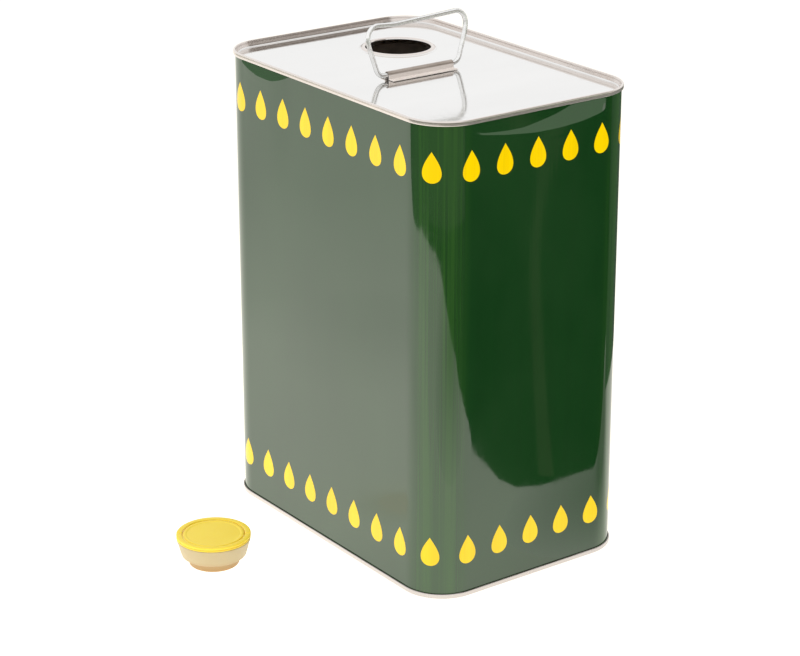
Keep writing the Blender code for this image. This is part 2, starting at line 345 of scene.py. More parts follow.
@dataclass(frozen=True)
class TinSizes:
    """Sizes that the tin's pieces share. The outer ones come from the frame."""

    plate: float = 0.3 * MM
    corner: float = 27 * MM
    seam_proud: float = 1.2 * MM
    seam_height: float = 3.2 * MM
    countersink: float = 4.2 * MM
    fillet: float = 1.2 * MM
    crest_radius: float = 0.45 * MM
    hook_gap: float = 0.3 * MM

    def outline(self) -> Outline:
        """The body's outline, from the seam that stands out around it."""
        low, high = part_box("bottom_end")
        half = (high - low) / 2
        centre = (low + high) / 2
        return Outline(centre, half.x - self.seam_proud, half.y - self.seam_proud, self.corner)

    def crest(self, place: Place) -> float:
        """Height of a seam's crest."""
        if place is Place.TOP:
            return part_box("body_shell")[1].z + 4 * self.plate
        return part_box("bottom_end")[0].z


# ---- node tools ----------------------------------------------------------------------------------------


class NodeTools:
    """A node tree with short calls to add and join nodes."""

    def __init__(self, tree: bpy.types.NodeTree) -> None:
        """Keep the tree that the calls work on."""
        self.tree = tree

    def feed(self, socket: bpy.types.NodeSocket, value: object) -> None:
        """Link a socket to another, or give it a value."""
        if isinstance(value, bpy.types.NodeSocket):
            self.tree.links.new(value, socket)
        else:
            socket.default_value = value

    def add(self, kind: str, **settings: object) -> bpy.types.Node:
        """Add a node and set its properties and inputs.

        Args:
            kind: The node's type name.
            settings: Properties by name, and input values or links by name with spaces as underscores.

        Returns:
            The node.
        """
        node = self.tree.nodes.new(kind)
        properties = {key: value for key, value in settings.items() if hasattr(node, key)}
        for key, value in properties.items():
            setattr(node, key, value)
        for key in settings:
            if key not in properties:
                self.feed(node.inputs[key.replace("_", " ")], settings[key])
        return node

    def chain(self, kind: str, values: Sequence[object], **settings: object) -> bpy.types.Node:
        """Add a node and feed its first inputs in order."""
        node = self.add(kind, **settings)
        for socket, value in zip(node.inputs, values):
            self.feed(socket, value)
        return node

    def math(self, operation: str, *values: object, clamp: bool = False) -> bpy.types.NodeSocket:
        """A Math node on sockets or numbers."""
        return self.chain("ShaderNodeMath", values, operation=operation, use_clamp=clamp).outputs[0]

    def vector(self, operation: str, *values: object) -> bpy.types.NodeSocket:
        """A Vector Math node on sockets or vectors: its vector, or its number for a distance or length."""
        outputs = self.chain("ShaderNodeVectorMath", values, operation=operation).outputs
        return outputs["Value" if operation in ("DISTANCE", "LENGTH") else "Vector"]


class Shader(NodeTools):
    """A shader's node tree."""

    def join(self, source: bpy.types.NodeSocket, target: bpy.types.NodeSocket) -> None:
        """Link an output to an input."""
        self.tree.links.new(source, target)

    def place(self) -> bpy.types.NodeSocket:
        """The piece's own coordinates."""
        return self.add("ShaderNodeTexCoord").outputs["Object"]

    def axes(self) -> bpy.types.NodeOutputs:
        """The piece's own coordinates as X, Y and Z."""
        return self.add("ShaderNodeSeparateXYZ", Vector=self.place()).outputs

    def mix(self, factor: bpy.types.NodeSocket, first: object, second: object) -> bpy.types.NodeSocket:
        """Mix two colours by a factor and give the result."""
        node = self.add("ShaderNodeMix", data_type="RGBA")
        self.join(factor, node.inputs[0])
        for socket, value in ((node.inputs[6], first), (node.inputs[7], second)):
            self.feed(socket, value if isinstance(value, bpy.types.NodeSocket) else (*value, 1.0))
        return node.outputs[2]

    def spread(self, value: bpy.types.NodeSocket, *bounds: float) -> bpy.types.NodeSocket:
        """Map a value from one range to another, given as from low, from high, to low, to high."""
        return self.chain("ShaderNodeMapRange", (value, *bounds)).outputs[0]

    def stretched(self, place: bpy.types.NodeSocket, scale: Sequence[float], **settings: object) -> object:
        """A place with a scale for each axis."""
        return self.add("ShaderNodeMapping", Vector=place, Scale=scale, **settings).outputs[0]

    def noise(self, scale: Sequence[float], detail: float = 2.0) -> bpy.types.NodeSocket:
        """Noise on the piece's own coordinates, with a scale for each axis."""
        place = self.stretched(self.place(), scale)
        texture = self.add("ShaderNodeTexNoise", Scale=1.0, Detail=detail, Roughness=0.5, Vector=place)
        return texture.outputs["Fac"]

    def cloud(
        self, scale: Sequence[float], low: float, high: float, detail: float = 3
    ) -> bpy.types.NodeSocket:
        """Noise spread to a mask from 0 to 1 between two of its values."""
        return self.spread(self.noise(scale, detail), low, high, 0, 1)


def shader_group(name: str, inputs: dict[str, float], outputs: Iterable[str]) -> tuple[Shader, dict, dict]:
    """Start a shader node group with float sockets.

    Args:
        name: The group's name.
        inputs: Input names with their defaults.
        outputs: Output names.

    Returns:
        The group's tree, its inputs by name and its outputs by name.
    """
    tree = bpy.data.node_groups.new(name, "ShaderNodeTree")
    for label, value in inputs.items():
        socket = tree.interface.new_socket(label, in_out="INPUT", socket_type="NodeSocketFloat")
        socket.default_value = value
    for label in outputs:
        tree.interface.new_socket(label, in_out="OUTPUT", socket_type="NodeSocketFloat")
    shader = Shader(tree)
    entry, leave = shader.add("NodeGroupInput"), shader.add("NodeGroupOutput")
    return shader, entry.outputs, leave.inputs


def roller_streaks() -> bpy.types.NodeTree:
    """Upright streaks left in sheet by rolling and bending, as a height, and as a mask for a painted sheen that
    lightens the colour along them.
    """
    shader, given, out = shader_group("roller_streaks", {"Fineness": 1.0, "Depth": 1.0}, ("Height", "Mask"))
    place = shader.stretched(shader.place(), (520, 520, 5))
    waves = []
    for share in (1.0, 0.22):
        scale = shader.math("MULTIPLY", given["Fineness"], share)
        wave = shader.add("ShaderNodeTexNoise", Detail=2.0, Roughness=0.5, Vector=place, Scale=scale)
        waves.append(wave.outputs["Fac"])
    both = shader.math("MULTIPLY_ADD", waves[0], 0.5, shader.math("MULTIPLY", waves[1], 0.5))
    shader.join(shader.math("MULTIPLY", both, given["Depth"]), out["Height"])
    shader.join(shader.spread(both, 0.42, 0.60, 0, 1), out["Mask"])
    return shader.tree


def handling_marks() -> bpy.types.NodeTree:
    """Smudges, fine scratches and specks, as masks from 0 to 1."""
    names = ("Smudge", "Scratch", "Speck")
    shader, given, out = shader_group("handling_marks", {"Size": 1.0, "Amount": 1.0}, names)
    scaled = shader.add("ShaderNodeVectorMath", operation="SCALE", Scale=given["Size"])
    shader.join(shader.place(), scaled.inputs[0])
    turned = {"Rotation": (0.3, 0.5, 0.9)}
    textures = (
        ("TexNoise", (22, 22, 22), turned, {"Detail": 4.0, "Roughness": 0.6}, "Fac", (0.45, 0.75)),
        ("TexNoise", (90, 1400, 60), turned, {"Detail": 1.0}, "Fac", (0.70, 0.78)),
        ("TexVoronoi", (70, 70, 70), {}, {}, "Distance", (0.05, 0.03)),
    )
    for label, (kind, scale, turn, settings, output, bounds) in zip(names, textures):
        place = shader.stretched(scaled.outputs[0], scale, **turn)
        texture = shader.add("ShaderNode" + kind, Vector=place, **settings)
        mask = shader.spread(texture.outputs[output], *bounds, 0, 1)
        shader.join(shader.math("MULTIPLY", mask, given["Amount"]), out[label])
    return shader.tree


def edge_wear() -> bpy.types.NodeTree:
    """Masks for rubbed convex edges and for hollows, from how convex or hollow the surface is."""
    shader, given, out = shader_group("edge_wear", {"Width": 1.0}, ("Rubbed", "Fold"))
    bend = shader.add("ShaderNodeNewGeometry").outputs["Pointiness"]
    reach = shader.math("MULTIPLY", given["Width"], 0.08)
    for label, first, second in (("Rubbed", bend, 0.5), ("Fold", 0.5, bend)):
        over = shader.math("SUBTRACT", first, second)
        shader.join(shader.math("DIVIDE", over, reach, clamp=True), out[label])
    return shader.tree


class SharedEffects:
    """The shader groups that more than one finish uses, each built once."""

    def __init__(self) -> None:
        """Build the groups."""
        self.streaks = roller_streaks()
        self.marks = handling_marks()
        self.convexity = edge_wear()


def group_node(shader: Shader, tree: bpy.types.NodeTree, **values: float) -> bpy.types.NodeOutputs:
    """Place a shared group in a material with its own values, and give its outputs."""
    node = shader.add("ShaderNodeGroup", node_tree=tree)
    for label, value in values.items():
        node.inputs[label].default_value = value
    return node.outputs


def darker(colour: Colour, share: float) -> Colour:
    """A colour times a share."""
    return tuple(share * channel for channel in colour)


def new_material(name: str) -> tuple[bpy.types.Material, Shader, bpy.types.Node]:
    """A material with a Principled shader.

    Args:
        name: The material's name.

    Returns:
        The material, its node tree and its Principled node.
    """
    material = bpy.data.materials.new(name)
    material.use_nodes = True
    return material, Shader(material.node_tree), material.node_tree.nodes["Principled BSDF"]


def finish_surface(
    shader: Shader,
    surface: bpy.types.Node,
    tone: bpy.types.NodeSocket,
    rough: bpy.types.NodeSocket | float,
    height: bpy.types.NodeSocket,
    strength: float,
    reach: float,
) -> None:
    """Feed a Principled node's colour, roughness and, through a bump, normal.

    Args:
        shader: The material's tree.
        surface: The Principled node.
        tone: The colour.
        rough: The roughness.
        height: The bump's height from 0 to 1.
        strength: The Bump node's strength.
        reach: The height in metres that 1 stands for.
    """
    relief = shader.add("ShaderNodeBump", Strength=strength, Distance=reach, Height=height)
    for label, source in (("Base Color", tone), ("Roughness", rough), ("Normal", relief.outputs[0])):
        shader.feed(surface.inputs[label], source)


# ---- finishes ------------------------------------------------------------------------------------------


@dataclass(frozen=True)
class GlossPrint:
    """Gloss varnish over a printed colour on tinplate, with a painted sheen: lighter along the upright streaks,
    and brighter green in streaks at the corners.
    """

    name: str
    colour: Colour
    shade: Colour
    roughness: float = 0.045
    gloss_index: float = 1.8
    streak_reach: float = 0.02 * MM
    streak_heights: Point2 = (120 * MM, 240 * MM)
    # stretched: the colour of a painted sheen at the upright corners.
    stretched: Colour | None = None
    seam_x: float | None = None
    seam_y: float = 0.0
    seam_half: float = 4.2 * MM
    bare: Colour = (0.72, 0.70, 0.67)
    scale: Colour = (0.45, 0.40, 0.36)

    def material(self, shared: SharedEffects) -> bpy.types.Material:
        """Build the material; where seam_x is given, the print stops beside the lap weld there."""
        material, shader, surface = new_material(self.name)
        streaks = group_node(shader, shared.streaks, Fineness=1.0, Depth=1.0)
        marks = group_node(shader, shared.marks, Size=1.0, Amount=1.0)
        axes = shader.axes()
        tone = shader.mix(shader.cloud((14, 14, 9), 0.35, 0.65), self.colour, self.shade)
        # Painted sheen: the colour is lighter along the upright streaks.
        tone = shader.mix(shader.math("MULTIPLY", streaks["Mask"], 0.35), tone, darker(self.colour, 1.25))
        rough = shader.math("MULTIPLY_ADD", marks["Smudge"], 0.05, self.roughness)
        rough = shader.math("MULTIPLY_ADD", marks["Scratch"], 0.12, rough)
        # Painted sheen: the corners turn brighter green in upright streaks, where the bends would catch the light.
        if self.stretched is not None:
            bend = shader.add("ShaderNodeAttribute", attribute_name="bend").outputs["Fac"]
            sheen_streaks = shader.math("MULTIPLY_ADD", streaks["Mask"], 1.1, 0.35)
            tone = shader.mix(shader.math("MULTIPLY", bend, sheen_streaks, clamp=True), tone, self.stretched)
        if self.seam_x is not None:
            far = shader.math("LESS_THAN", axes["X"], self.seam_x)
            aside = shader.math("ABSOLUTE", shader.math("SUBTRACT", axes["Y"], self.seam_y))
            bare = shader.math("MULTIPLY", far, shader.math("LESS_THAN", aside, self.seam_half))
            scale = shader.cloud((300, 300, 900), 0.4, 0.6, detail=2)
            tone = shader.mix(bare, tone, shader.mix(scale, self.bare, self.scale))
            shader.join(bare, surface.inputs["Metallic"])
            rough = shader.math("MULTIPLY_ADD", bare, 0.25, rough)
        surface.inputs["IOR"].default_value = self.gloss_index
        strongest_high = shader.spread(axes["Z"], *self.streak_heights, 0.2, 1.0)
        height = shader.math("MULTIPLY", streaks["Height"], strongest_high)
        finish_surface(shader, surface, tone, rough, height, 1.0, self.streak_reach)
        return material


@dataclass(frozen=True)
class BrightTin:
    """Bright tinplate, nearly a mirror, with rolling grain, smudges, a darker colour where it is hollow, and
    painted dark bands at given heights, which stand in for shadow lines and dark reflections.
    """

    name: str
    colour: Colour = (0.865, 0.86, 0.85)
    # fold: the colour laid into hollows.
    fold: Colour = (0.42, 0.37, 0.34)
    roughness: float = 0.07
    grain: float = 0.002 * MM
    metal: float = 1.0
    # Painted dark bands: heights, colour, half width and patchy strength of bands that stand in for shadow lines
    # and dark reflections.
    painted_band_at: tuple[float, ...] = ()
    painted_band: Colour = (0.36, 0.30, 0.27)
    painted_band_half: float = 0.4 * MM
    painted_band_depth: tuple[float, float] = (0.35, 0.8)

    def material(self, shared: SharedEffects) -> bpy.types.Material:
        """Build the material."""
        material, shader, surface = new_material(self.name)
        marks = group_node(shader, shared.marks, Size=1.4, Amount=1.0)
        convexity = group_node(shader, shared.convexity, Width=1.0)
        cloud = shader.cloud((30, 9, 30), 0.35, 0.7, detail=4)
        tone = shader.mix(cloud, self.colour, darker(self.colour, 0.97))
        # Darker where the surface is hollow.
        tone = shader.mix(shader.math("MULTIPLY", convexity["Fold"], 0.6), tone, self.fold)
        height = shader.axes()["Z"]
        patchy = shader.spread(shader.noise((60, 60, 400), detail=3), 0.3, 0.6, *self.painted_band_depth)
        # Painted shade: a patchy dark band at each given height.
        for level in self.painted_band_at:
            off = shader.math("ABSOLUTE", shader.math("SUBTRACT", height, level))
            line = shader.spread(off, 0.7 * self.painted_band_half, self.painted_band_half, 1, 0)
            tone = shader.mix(shader.math("MULTIPLY", line, patchy), tone, self.painted_band)
        rough = shader.math("MULTIPLY_ADD", marks["Smudge"], 0.06, self.roughness)
        rough = shader.math("MULTIPLY_ADD", marks["Scratch"], 0.10, rough)
        surface.inputs["Metallic"].default_value = self.metal
        rolled = shader.noise((2600, 160, 2600), detail=1)
        finish_surface(shader, surface, tone, rough, rolled, 0.5, self.grain)
        return material


@dataclass(frozen=True)
class DullTin:
    """The inside of the tin: plain plate with a thin golden lacquer."""

    name: str
    colour: Colour = (0.66, 0.56, 0.47)

    def material(self, shared: SharedEffects) -> bpy.types.Material:
        """Build the material."""
        material, shader, surface = new_material(self.name)
        marks = group_node(shader, shared.marks, Size=1.0, Amount=1.0)
        tone = shader.mix(marks["Smudge"], self.colour, darker(self.colour, 0.7))
        shader.join(tone, surface.inputs["Base Color"])
        surface.inputs["Roughness"].default_value = 0.5
        return material


@dataclass(frozen=True)
class DrawnWire:
    """Satin drawn steel wire with a fine grain, and a painted dark reflection where it is seen edge-on, from a
    near-black edge tint.
    """

    name: str
    colour: Colour = (0.92, 0.92, 0.91)
    # rim: near-black edge tint, a painted dark reflection at the wire's edges.
    rim: Colour = (0.12, 0.12, 0.11)
    roughness: float = 0.2

    def material(self, shared: SharedEffects) -> bpy.types.Material:
        """Build the material."""
        material, shader, surface = new_material(self.name)
        marks = group_node(shader, shared.marks, Size=3.0, Amount=1.0)
        tone = shader.mix(marks["Smudge"], self.colour, darker(self.colour, 0.86))
        rough = shader.math("MULTIPLY_ADD", marks["Smudge"], 0.12, self.roughness)
        surface.inputs["Metallic"].default_value = 0.75
        # Painted dark reflection: the edge tint darkens the wire where it is seen edge-on.
        surface.inputs["Specular Tint"].default_value = (*self.rim, 1.0)
        grain = shader.noise((900, 900, 900), detail=3)
        finish_surface(shader, surface, tone, rough, grain, 0.08, 0.004 * MM)
        return material


@dataclass(frozen=True)
class Polythene:
    """Moulded polyethylene, a little translucent, with a fine satin texture, and where asked a painted shade
    towards its foot.
    """

    name: str
    colour: Colour
    shade: Colour
    milk: float
    # foot: colour of a painted shade, darker and more tan towards the bottom under the skirt.
    foot: Colour | None = None
    shade_rise: float = 9 * MM
    roughness: float = 0.42

    def material(self, shared: SharedEffects) -> bpy.types.Material:
        """Build the material."""
        material, shader, surface = new_material(self.name)
        marks = group_node(shader, shared.marks, Size=4.0, Amount=1.0)
        cloud = shader.cloud((90, 90, 90), 0.35, 0.65)
        tone = shader.mix(shader.math("MULTIPLY", cloud, 0.5), self.colour, self.shade)
        # Painted shade: the colour darkens to foot towards the bottom.
        if self.foot is not None:
            tone = shader.mix(shader.spread(shader.axes()["Z"], 0.0, self.shade_rise, 1, 0), tone, self.foot)
        rough = shader.math("MULTIPLY_ADD", marks["Smudge"], 0.14, self.roughness)
        surface.inputs["Subsurface Weight"].default_value = self.milk
        surface.inputs["Subsurface Radius"].default_value = (1.0, 0.75, 0.4)
        surface.inputs["Subsurface Scale"].default_value = 2.2 * MM
        surface.inputs["IOR"].default_value = 1.5
        grain = shader.noise((1500, 1500, 1500), detail=2)
        finish_surface(shader, surface, tone, rough, grain, 0.25, 0.02 * MM)
        return material


@dataclass(frozen=True)
class SealingCompound:
    """Matt rubbery compound inside the seams."""

    name: str
    colour: Colour = (0.22, 0.20, 0.18)

    def material(self) -> bpy.types.Material:
        """Build the material."""
        material, shader, surface = new_material(self.name)
        grain = shader.noise((800, 800, 800), detail=3)
        tone = shader.mix(grain, self.colour, darker(self.colour, 0.8))
        finish_surface(shader, surface, tone, 0.85, grain, 0.4, 0.03 * MM)
        return material


class Finishes:
    """Every finish of the object, built once."""

    def __init__(self, sizes: TinSizes) -> None:
        """Build the shared effects, then the materials.

        Args:
            sizes: The tin's sizes, which say where the lap weld and the seams are.
        """
        shared, outline = SharedEffects(), sizes.outline()
        top_shadow_line = sizes.crest(Place.TOP) - 1.3 * MM
        foot_shadow_line = sizes.crest(Place.BOTTOM) + sizes.seam_height
        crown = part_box("handle_saddle")[1].z
        self.green = GlossPrint(
            "green_print",
            colour=(0.0070, 0.041, 0.0090),
            shade=(0.0135, 0.053, 0.0145),
            # brighter green of the painted sheen at the corners
            stretched=(0.024, 0.085, 0.015),
            seam_x=outline.centre.x - outline.half_x + 2 * MM,
            seam_y=outline.centre.y,
        ).material(shared)
        self.yellow = GlossPrint(
            "yellow_print", (0.935, 0.645, 0.0), (0.905, 0.615, 0.001), gloss_index=1.55
        ).material(shared)
        self.tin = BrightTin("bright_tin").material(shared)
        # The seams: a painted shadow line 1.3 mm under the top crest.
        self.seam = BrightTin(
            "seam_tin",
            (0.79, 0.73, 0.69),
            roughness=0.2,
            metal=0.78,
            painted_band_at=(top_shadow_line,),
            painted_band=(0.42, 0.355, 0.315),
            painted_band_half=0.3 * MM,
        ).material(shared)
        # The bottom seam: a painted shadow line where it meets the body.
        self.foot_seam = BrightTin(
            "foot_seam_tin",
            (0.65, 0.605, 0.58),
            roughness=0.22,
            metal=0.7,
            painted_band_at=(foot_shadow_line,),
            painted_band=(0.13, 0.115, 0.10),
            painted_band_half=0.28 * MM,
            painted_band_depth=(0.75, 1.0),
        ).material(shared)
        # The saddle: a painted dark reflection over the top of its tube.
        self.saddle = BrightTin(
            "saddle_tin",
            (0.93, 0.855, 0.80),
            roughness=0.2,
            metal=0.3,
            painted_band_at=(crown,),
            painted_band=(0.30, 0.245, 0.205),
            painted_band_half=2.2 * MM,
            painted_band_depth=(0.8, 0.95),
        ).material(shared)
        self.inside = DullTin("inside_lacquer").material(shared)
        self.wire = DrawnWire("drawn_wire").material(shared)
        # The plug: painted shade towards its foot.
        self.cream = Polythene(
            "cream_polythene", (0.57, 0.465, 0.265), (0.53, 0.43, 0.24), milk=0.2, foot=(0.50, 0.30, 0.11)
        ).material(shared)
        self.cap = Polythene(
            "yellow_polythene", (1.0, 0.755, 0.055), (0.99, 0.72, 0.045), milk=0.05
        ).material(shared)
        self.compound = SealingCompound("sealing_compound").material()


# ---- geometry node tools -------------------------------------------------------------------------------


class Nodes(NodeTools):
    """A geometry node tree with named inputs."""

    def __init__(self, name: str, inputs: dict[str, object]) -> None:
        """Start the tree.

        Args:
            name: The tree's name.
            inputs: The value of each input by its name: a float, an int or an object.
        """
        super().__init__(bpy.data.node_groups.new(name, "GeometryNodeTree"))
        kinds = {float: "NodeSocketFloat", int: "NodeSocketInt", bpy.types.Object: "NodeSocketObject"}
        self.tree.interface.new_socket("Geometry", in_out="INPUT", socket_type="NodeSocketGeometry")
        for label, value in inputs.items():
            self.tree.interface.new_socket(label, in_out="INPUT", socket_type=kinds[type(value)])
        self.tree.interface.new_socket("Geometry", in_out="OUTPUT", socket_type="NodeSocketGeometry")
        self.values = inputs
        self.given = self.add("NodeGroupInput").outputs
        self.result = self.add("NodeGroupOutput").inputs[0]

    def combine(self, x: object, y: object, z: object) -> bpy.types.NodeSocket:
        """A vector from three sockets or numbers."""
        return self.add("ShaderNodeCombineXYZ", X=x, Y=y, Z=z).outputs[0]

    def scaled(self, vector: bpy.types.NodeSocket, factor: object) -> bpy.types.NodeSocket:
        """A vector times a number."""
        node = self.add("ShaderNodeVectorMath", operation="SCALE")
        self.feed(node.inputs[0], vector)
        self.feed(node.inputs["Scale"], factor)
        return node.outputs[0]

    def finish(self, geometry: bpy.types.NodeSocket, material: bpy.types.Material) -> None:
        """End the tree in realized geometry dressed in a material."""
        real = self.add("GeometryNodeRealizeInstances", Geometry=geometry)
        dressed = self.add("GeometryNodeSetMaterial", Geometry=real.outputs[0], Material=material)
        self.feed(self.result, dressed.outputs[0])

    def bake(self, name: str, seed: bpy.types.Object) -> bpy.types.Object:
        """Run the tree on an object and keep the result as a plain mesh.

        Args:
            name: The finished piece's name.
            seed: The object that the tree starts from; it is removed.

        Returns:
            The finished piece at the origin.
        """
        modifier = seed.modifiers.new(name, "NODES")
        modifier.node_group = self.tree
        for item in self.tree.interface.items_tree:
            if item.in_out == "INPUT" and item.name in self.values:
                modifier[item.identifier] = self.values[item.name]
        bpy.context.view_layer.update()
        graph = bpy.context.evaluated_depsgraph_get()
        mesh = bpy.data.meshes.new_from_object(seed.evaluated_get(graph), depsgraph=graph)
        seed.modifiers.remove(modifier)
        bpy.data.objects.remove(seed)
        return piece_from_mesh(name, mesh)


def line_object(name: str, points: Sequence[Sequence[float]], closed: bool) -> bpy.types.Object:
    """A mesh of edges along a path, for a node tree to start from.

    Args:
        name: The object's name.
        points: The path's points.
        closed: Whether the last point joins the first.

    Returns:
        The object, linked to the scene.
    """
    count = len(points)
    edges = [(i, (i + 1) % count) for i in range(count if closed else count - 1)]
    mesh = bpy.data.meshes.new(name)
    mesh.from_pydata([tuple(point) for point in points], edges, [])
    return add_object(name, mesh)


# ---- the tin -------------------------------------------------------------------------------------------


@dataclass(frozen=True)
class SeamLens:
    """A lens-shaped fold in a side just under the top seam, where the flat sheet meets the seam.

    `edge` gives the fold's lower edge as (share along the side, millimetres below the seam). `band` gives
    in the same way how wide the fold's slope is above that edge. `slope` is its steepness.
    """

    edge: tuple[Point2, ...]
    band: tuple[Point2, ...]
    slope: float
    ridge_at: float = 3.2 * MM
    ridge_run: float = 2.4 * MM
    ridge: float = 0.05 * MM
    fade: float = 90 * MM

    def read(self, table: tuple[Point2, ...], share: float) -> float:
        """Read a table at a share along the side, with its kinks smoothed."""
        shares, values = zip(*table)
        around = [np.interp(share + shift, shares, values) for shift in (-0.04, -0.02, 0, 0.02, 0.04)]
        return float(np.mean(around)) * MM

    def shape(self, share: float) -> Callable[[float], float]:
        """The fold's profile at one share along the side.

        Args:
            share: The place along the side.

        Returns:
            A function from metres below the seam to the offset outward; the offset fades out well
            below the fold.
        """
        edge = self.read(self.edge, share)
        band = max(0.01 * MM, min(edge, self.read(self.band, share)))
        here = min(1.0, edge / (3 * MM))

        def rise(depth: float) -> float:
            """The offset at a depth below the seam."""
            lift = self.slope * band * ease((depth - edge + band) / band)
            back = self.ridge * here * smooth((depth - edge - self.ridge_at) / self.ridge_run)
            return (lift - back) * (1 - smooth((depth - edge) / self.fade))

        return rise


SEAM_LENSES = {
    "+X": SeamLens(
        edge=(
            (-1, 4.6), (-0.89, 7.9), (-0.53, 11), (-0.07, 13.8), (0.28, 14.2), (0.61, 13.2), (0.9, 10.4),
            (1, 8),
        ),
        band=(
            (-1, 1.3), (-0.8, 1.4), (-0.53, 2.7), (-0.25, 4.3), (-0.07, 7), (0.17, 9.5), (0.35, 12),
            (0.5, 14), (1, 15),
        ),
        slope=0.064,
    ),
    "+Y": SeamLens(edge=((-0.3, 0), (0.1, 8), (0.5, 11), (0.9, 0)), band=((-1, 3), (1, 6)), slope=0.07),
    "-X": SeamLens(edge=((-0.8, 0), (-0.2, 9), (0.4, 10), (0.9, 0)), band=((-1, 5), (1, 3)), slope=0.07),
    "-Y": SeamLens(
        edge=((-1, 1), (-0.93, 4.5), (-0.8, 7.6), (-0.62, 8), (-0.48, 4), (-0.4, 0)),
        band=((-1, 9), (1, 9)),
        slope=0.075,
    ),
}


@dataclass(frozen=True)
class TinBody:
    """The printed body blank: a wrapped sheet whose sides bulge slightly between their seams."""

    sizes: TinSizes
    finishes: Finishes
    bulge: float = 0.45 * MM
    bulge_run: float = 90 * MM
    corner_steps: int = 20
    pitch: float = 2 * MM
    lap_half: float = 3.5 * MM
    lap_rise: float = 0.25 * MM
    lap_end: float = 5 * MM
    fold_end: float = 0.05

    def relief(self, station: Station) -> Callable[[float, float], float]:
        """How far the sheet stands out at a station.

        Args:
            station: The place on the outline.

        Returns:
            A function from metres below the top seam and above the bottom seam to the outward offset.
        """
        if station.side == "corner":
            return lambda depth, rise: 0.0
        fold = SEAM_LENSES[station.side].shape(station.share)
        crown = self.bulge * (1 - station.share**2) ** 2
        reach = smooth((1 - abs(station.share)) / self.fold_end)

        def offset(depth: float, rise: float) -> float:
            """The offset at one height."""
            upright = smooth(depth / self.bulge_run) * smooth(rise / self.bulge_run)
            return crown * upright + reach * fold(depth)

        return offset

    def lap(self, station: Station, depth: float, rise: float) -> float:
        """Extra thickness over the lap weld in the middle of the narrow side at -X."""
        if station.side != "-X":
            return 0.0
        across = smooth((self.lap_half + 0.4 * MM - abs(station.aside)) / (0.8 * MM))
        along = min(depth, rise) - self.lap_end + self.sizes.seam_height
        return self.lap_rise * across * smooth(along / MM)

    def heights(self, foot: float, crest: float) -> list[float]:
        """Heights of the outer skin's rows, closer together at the folds."""
        fine, coarse = 0.5 * MM, 5 * MM
        top_zone, foot_zone = 24 * MM, 16 * MM
        top = list(np.linspace(crest - top_zone, crest, round(top_zone / fine) + 1))
        low = list(np.linspace(foot, foot + foot_zone, 13))
        rows = round((crest - foot - top_zone - foot_zone) / coarse)
        middle = list(np.linspace(foot + foot_zone, crest - top_zone, rows + 1))
        return low + middle[1:-1] + top

    def build(self) -> bpy.types.Object:
        """Make the body skin with its flanges and inner wall."""
        sizes = self.sizes
        outline = sizes.outline()
        bottom, top = sizes.crest(Place.BOTTOM), sizes.crest(Place.TOP)
        seam = sizes.seam_height - sizes.plate
        foot, head = bottom + seam, top - seam
        flange = sizes.seam_proud - sizes.plate - sizes.hook_gap
        flange_depth = 4 * sizes.plate
        heights = self.heights(foot, head)
        over_top = [(0.35 * MM, flange_depth + sizes.plate), (flange, flange_depth + sizes.plate)]
        over_top += [(flange, flange_depth), (0.12 * MM, flange_depth), (-sizes.plate, seam)]
        columns = []
        for station in outline.stations(self.corner_steps, self.pitch):
            relief = self.relief(station)
            column = []
            for z in heights:
                depth, rise = head - z, z - foot
                column.append((relief(depth, rise) + self.lap(station, depth, rise), z))
            column += [(out, top - z) for out, z in over_top]
            for z in heights[::6][-2:0:-1]:
                column.append((relief(head - z, z - foot) - sizes.plate, z))
            column += [(out, bottom + z) for out, z in reversed(over_top)]
            columns.append(station.stand(column))
        inner_rows = range(len(heights) + len(over_top) - 1, len(columns[0]) - len(over_top))
        mesh = grid_mesh("body_skin", columns, close_rows=True, inner_rows=inner_rows)
        piece = piece_from_mesh("body_skin", mesh, (self.finishes.green, self.finishes.inside))
        self.mark_bends(mesh, outline)
        return dress(piece, "tin", "green_lacquer", "body_shell")

    def mark_bends(self, mesh: bpy.types.Mesh, outline: Outline) -> None:
        """Store on each vertex how far into an upright bend it is, from 0 on the flats to 1 mid-corner."""
        bend = mesh.attributes.new("bend", "FLOAT", "POINT")
        for vertex, value in zip(mesh.vertices, bend.data):
            over_x = abs(vertex.co.x - outline.centre.x) - outline.half_x + outline.corner
            over_y = abs(vertex.co.y - outline.centre.y) - outline.half_y + outline.corner
            inside = over_x > 0 and over_y > 0
            value.value = math.sin(2 * math.atan2(over_y, over_x)) if inside else 0.0


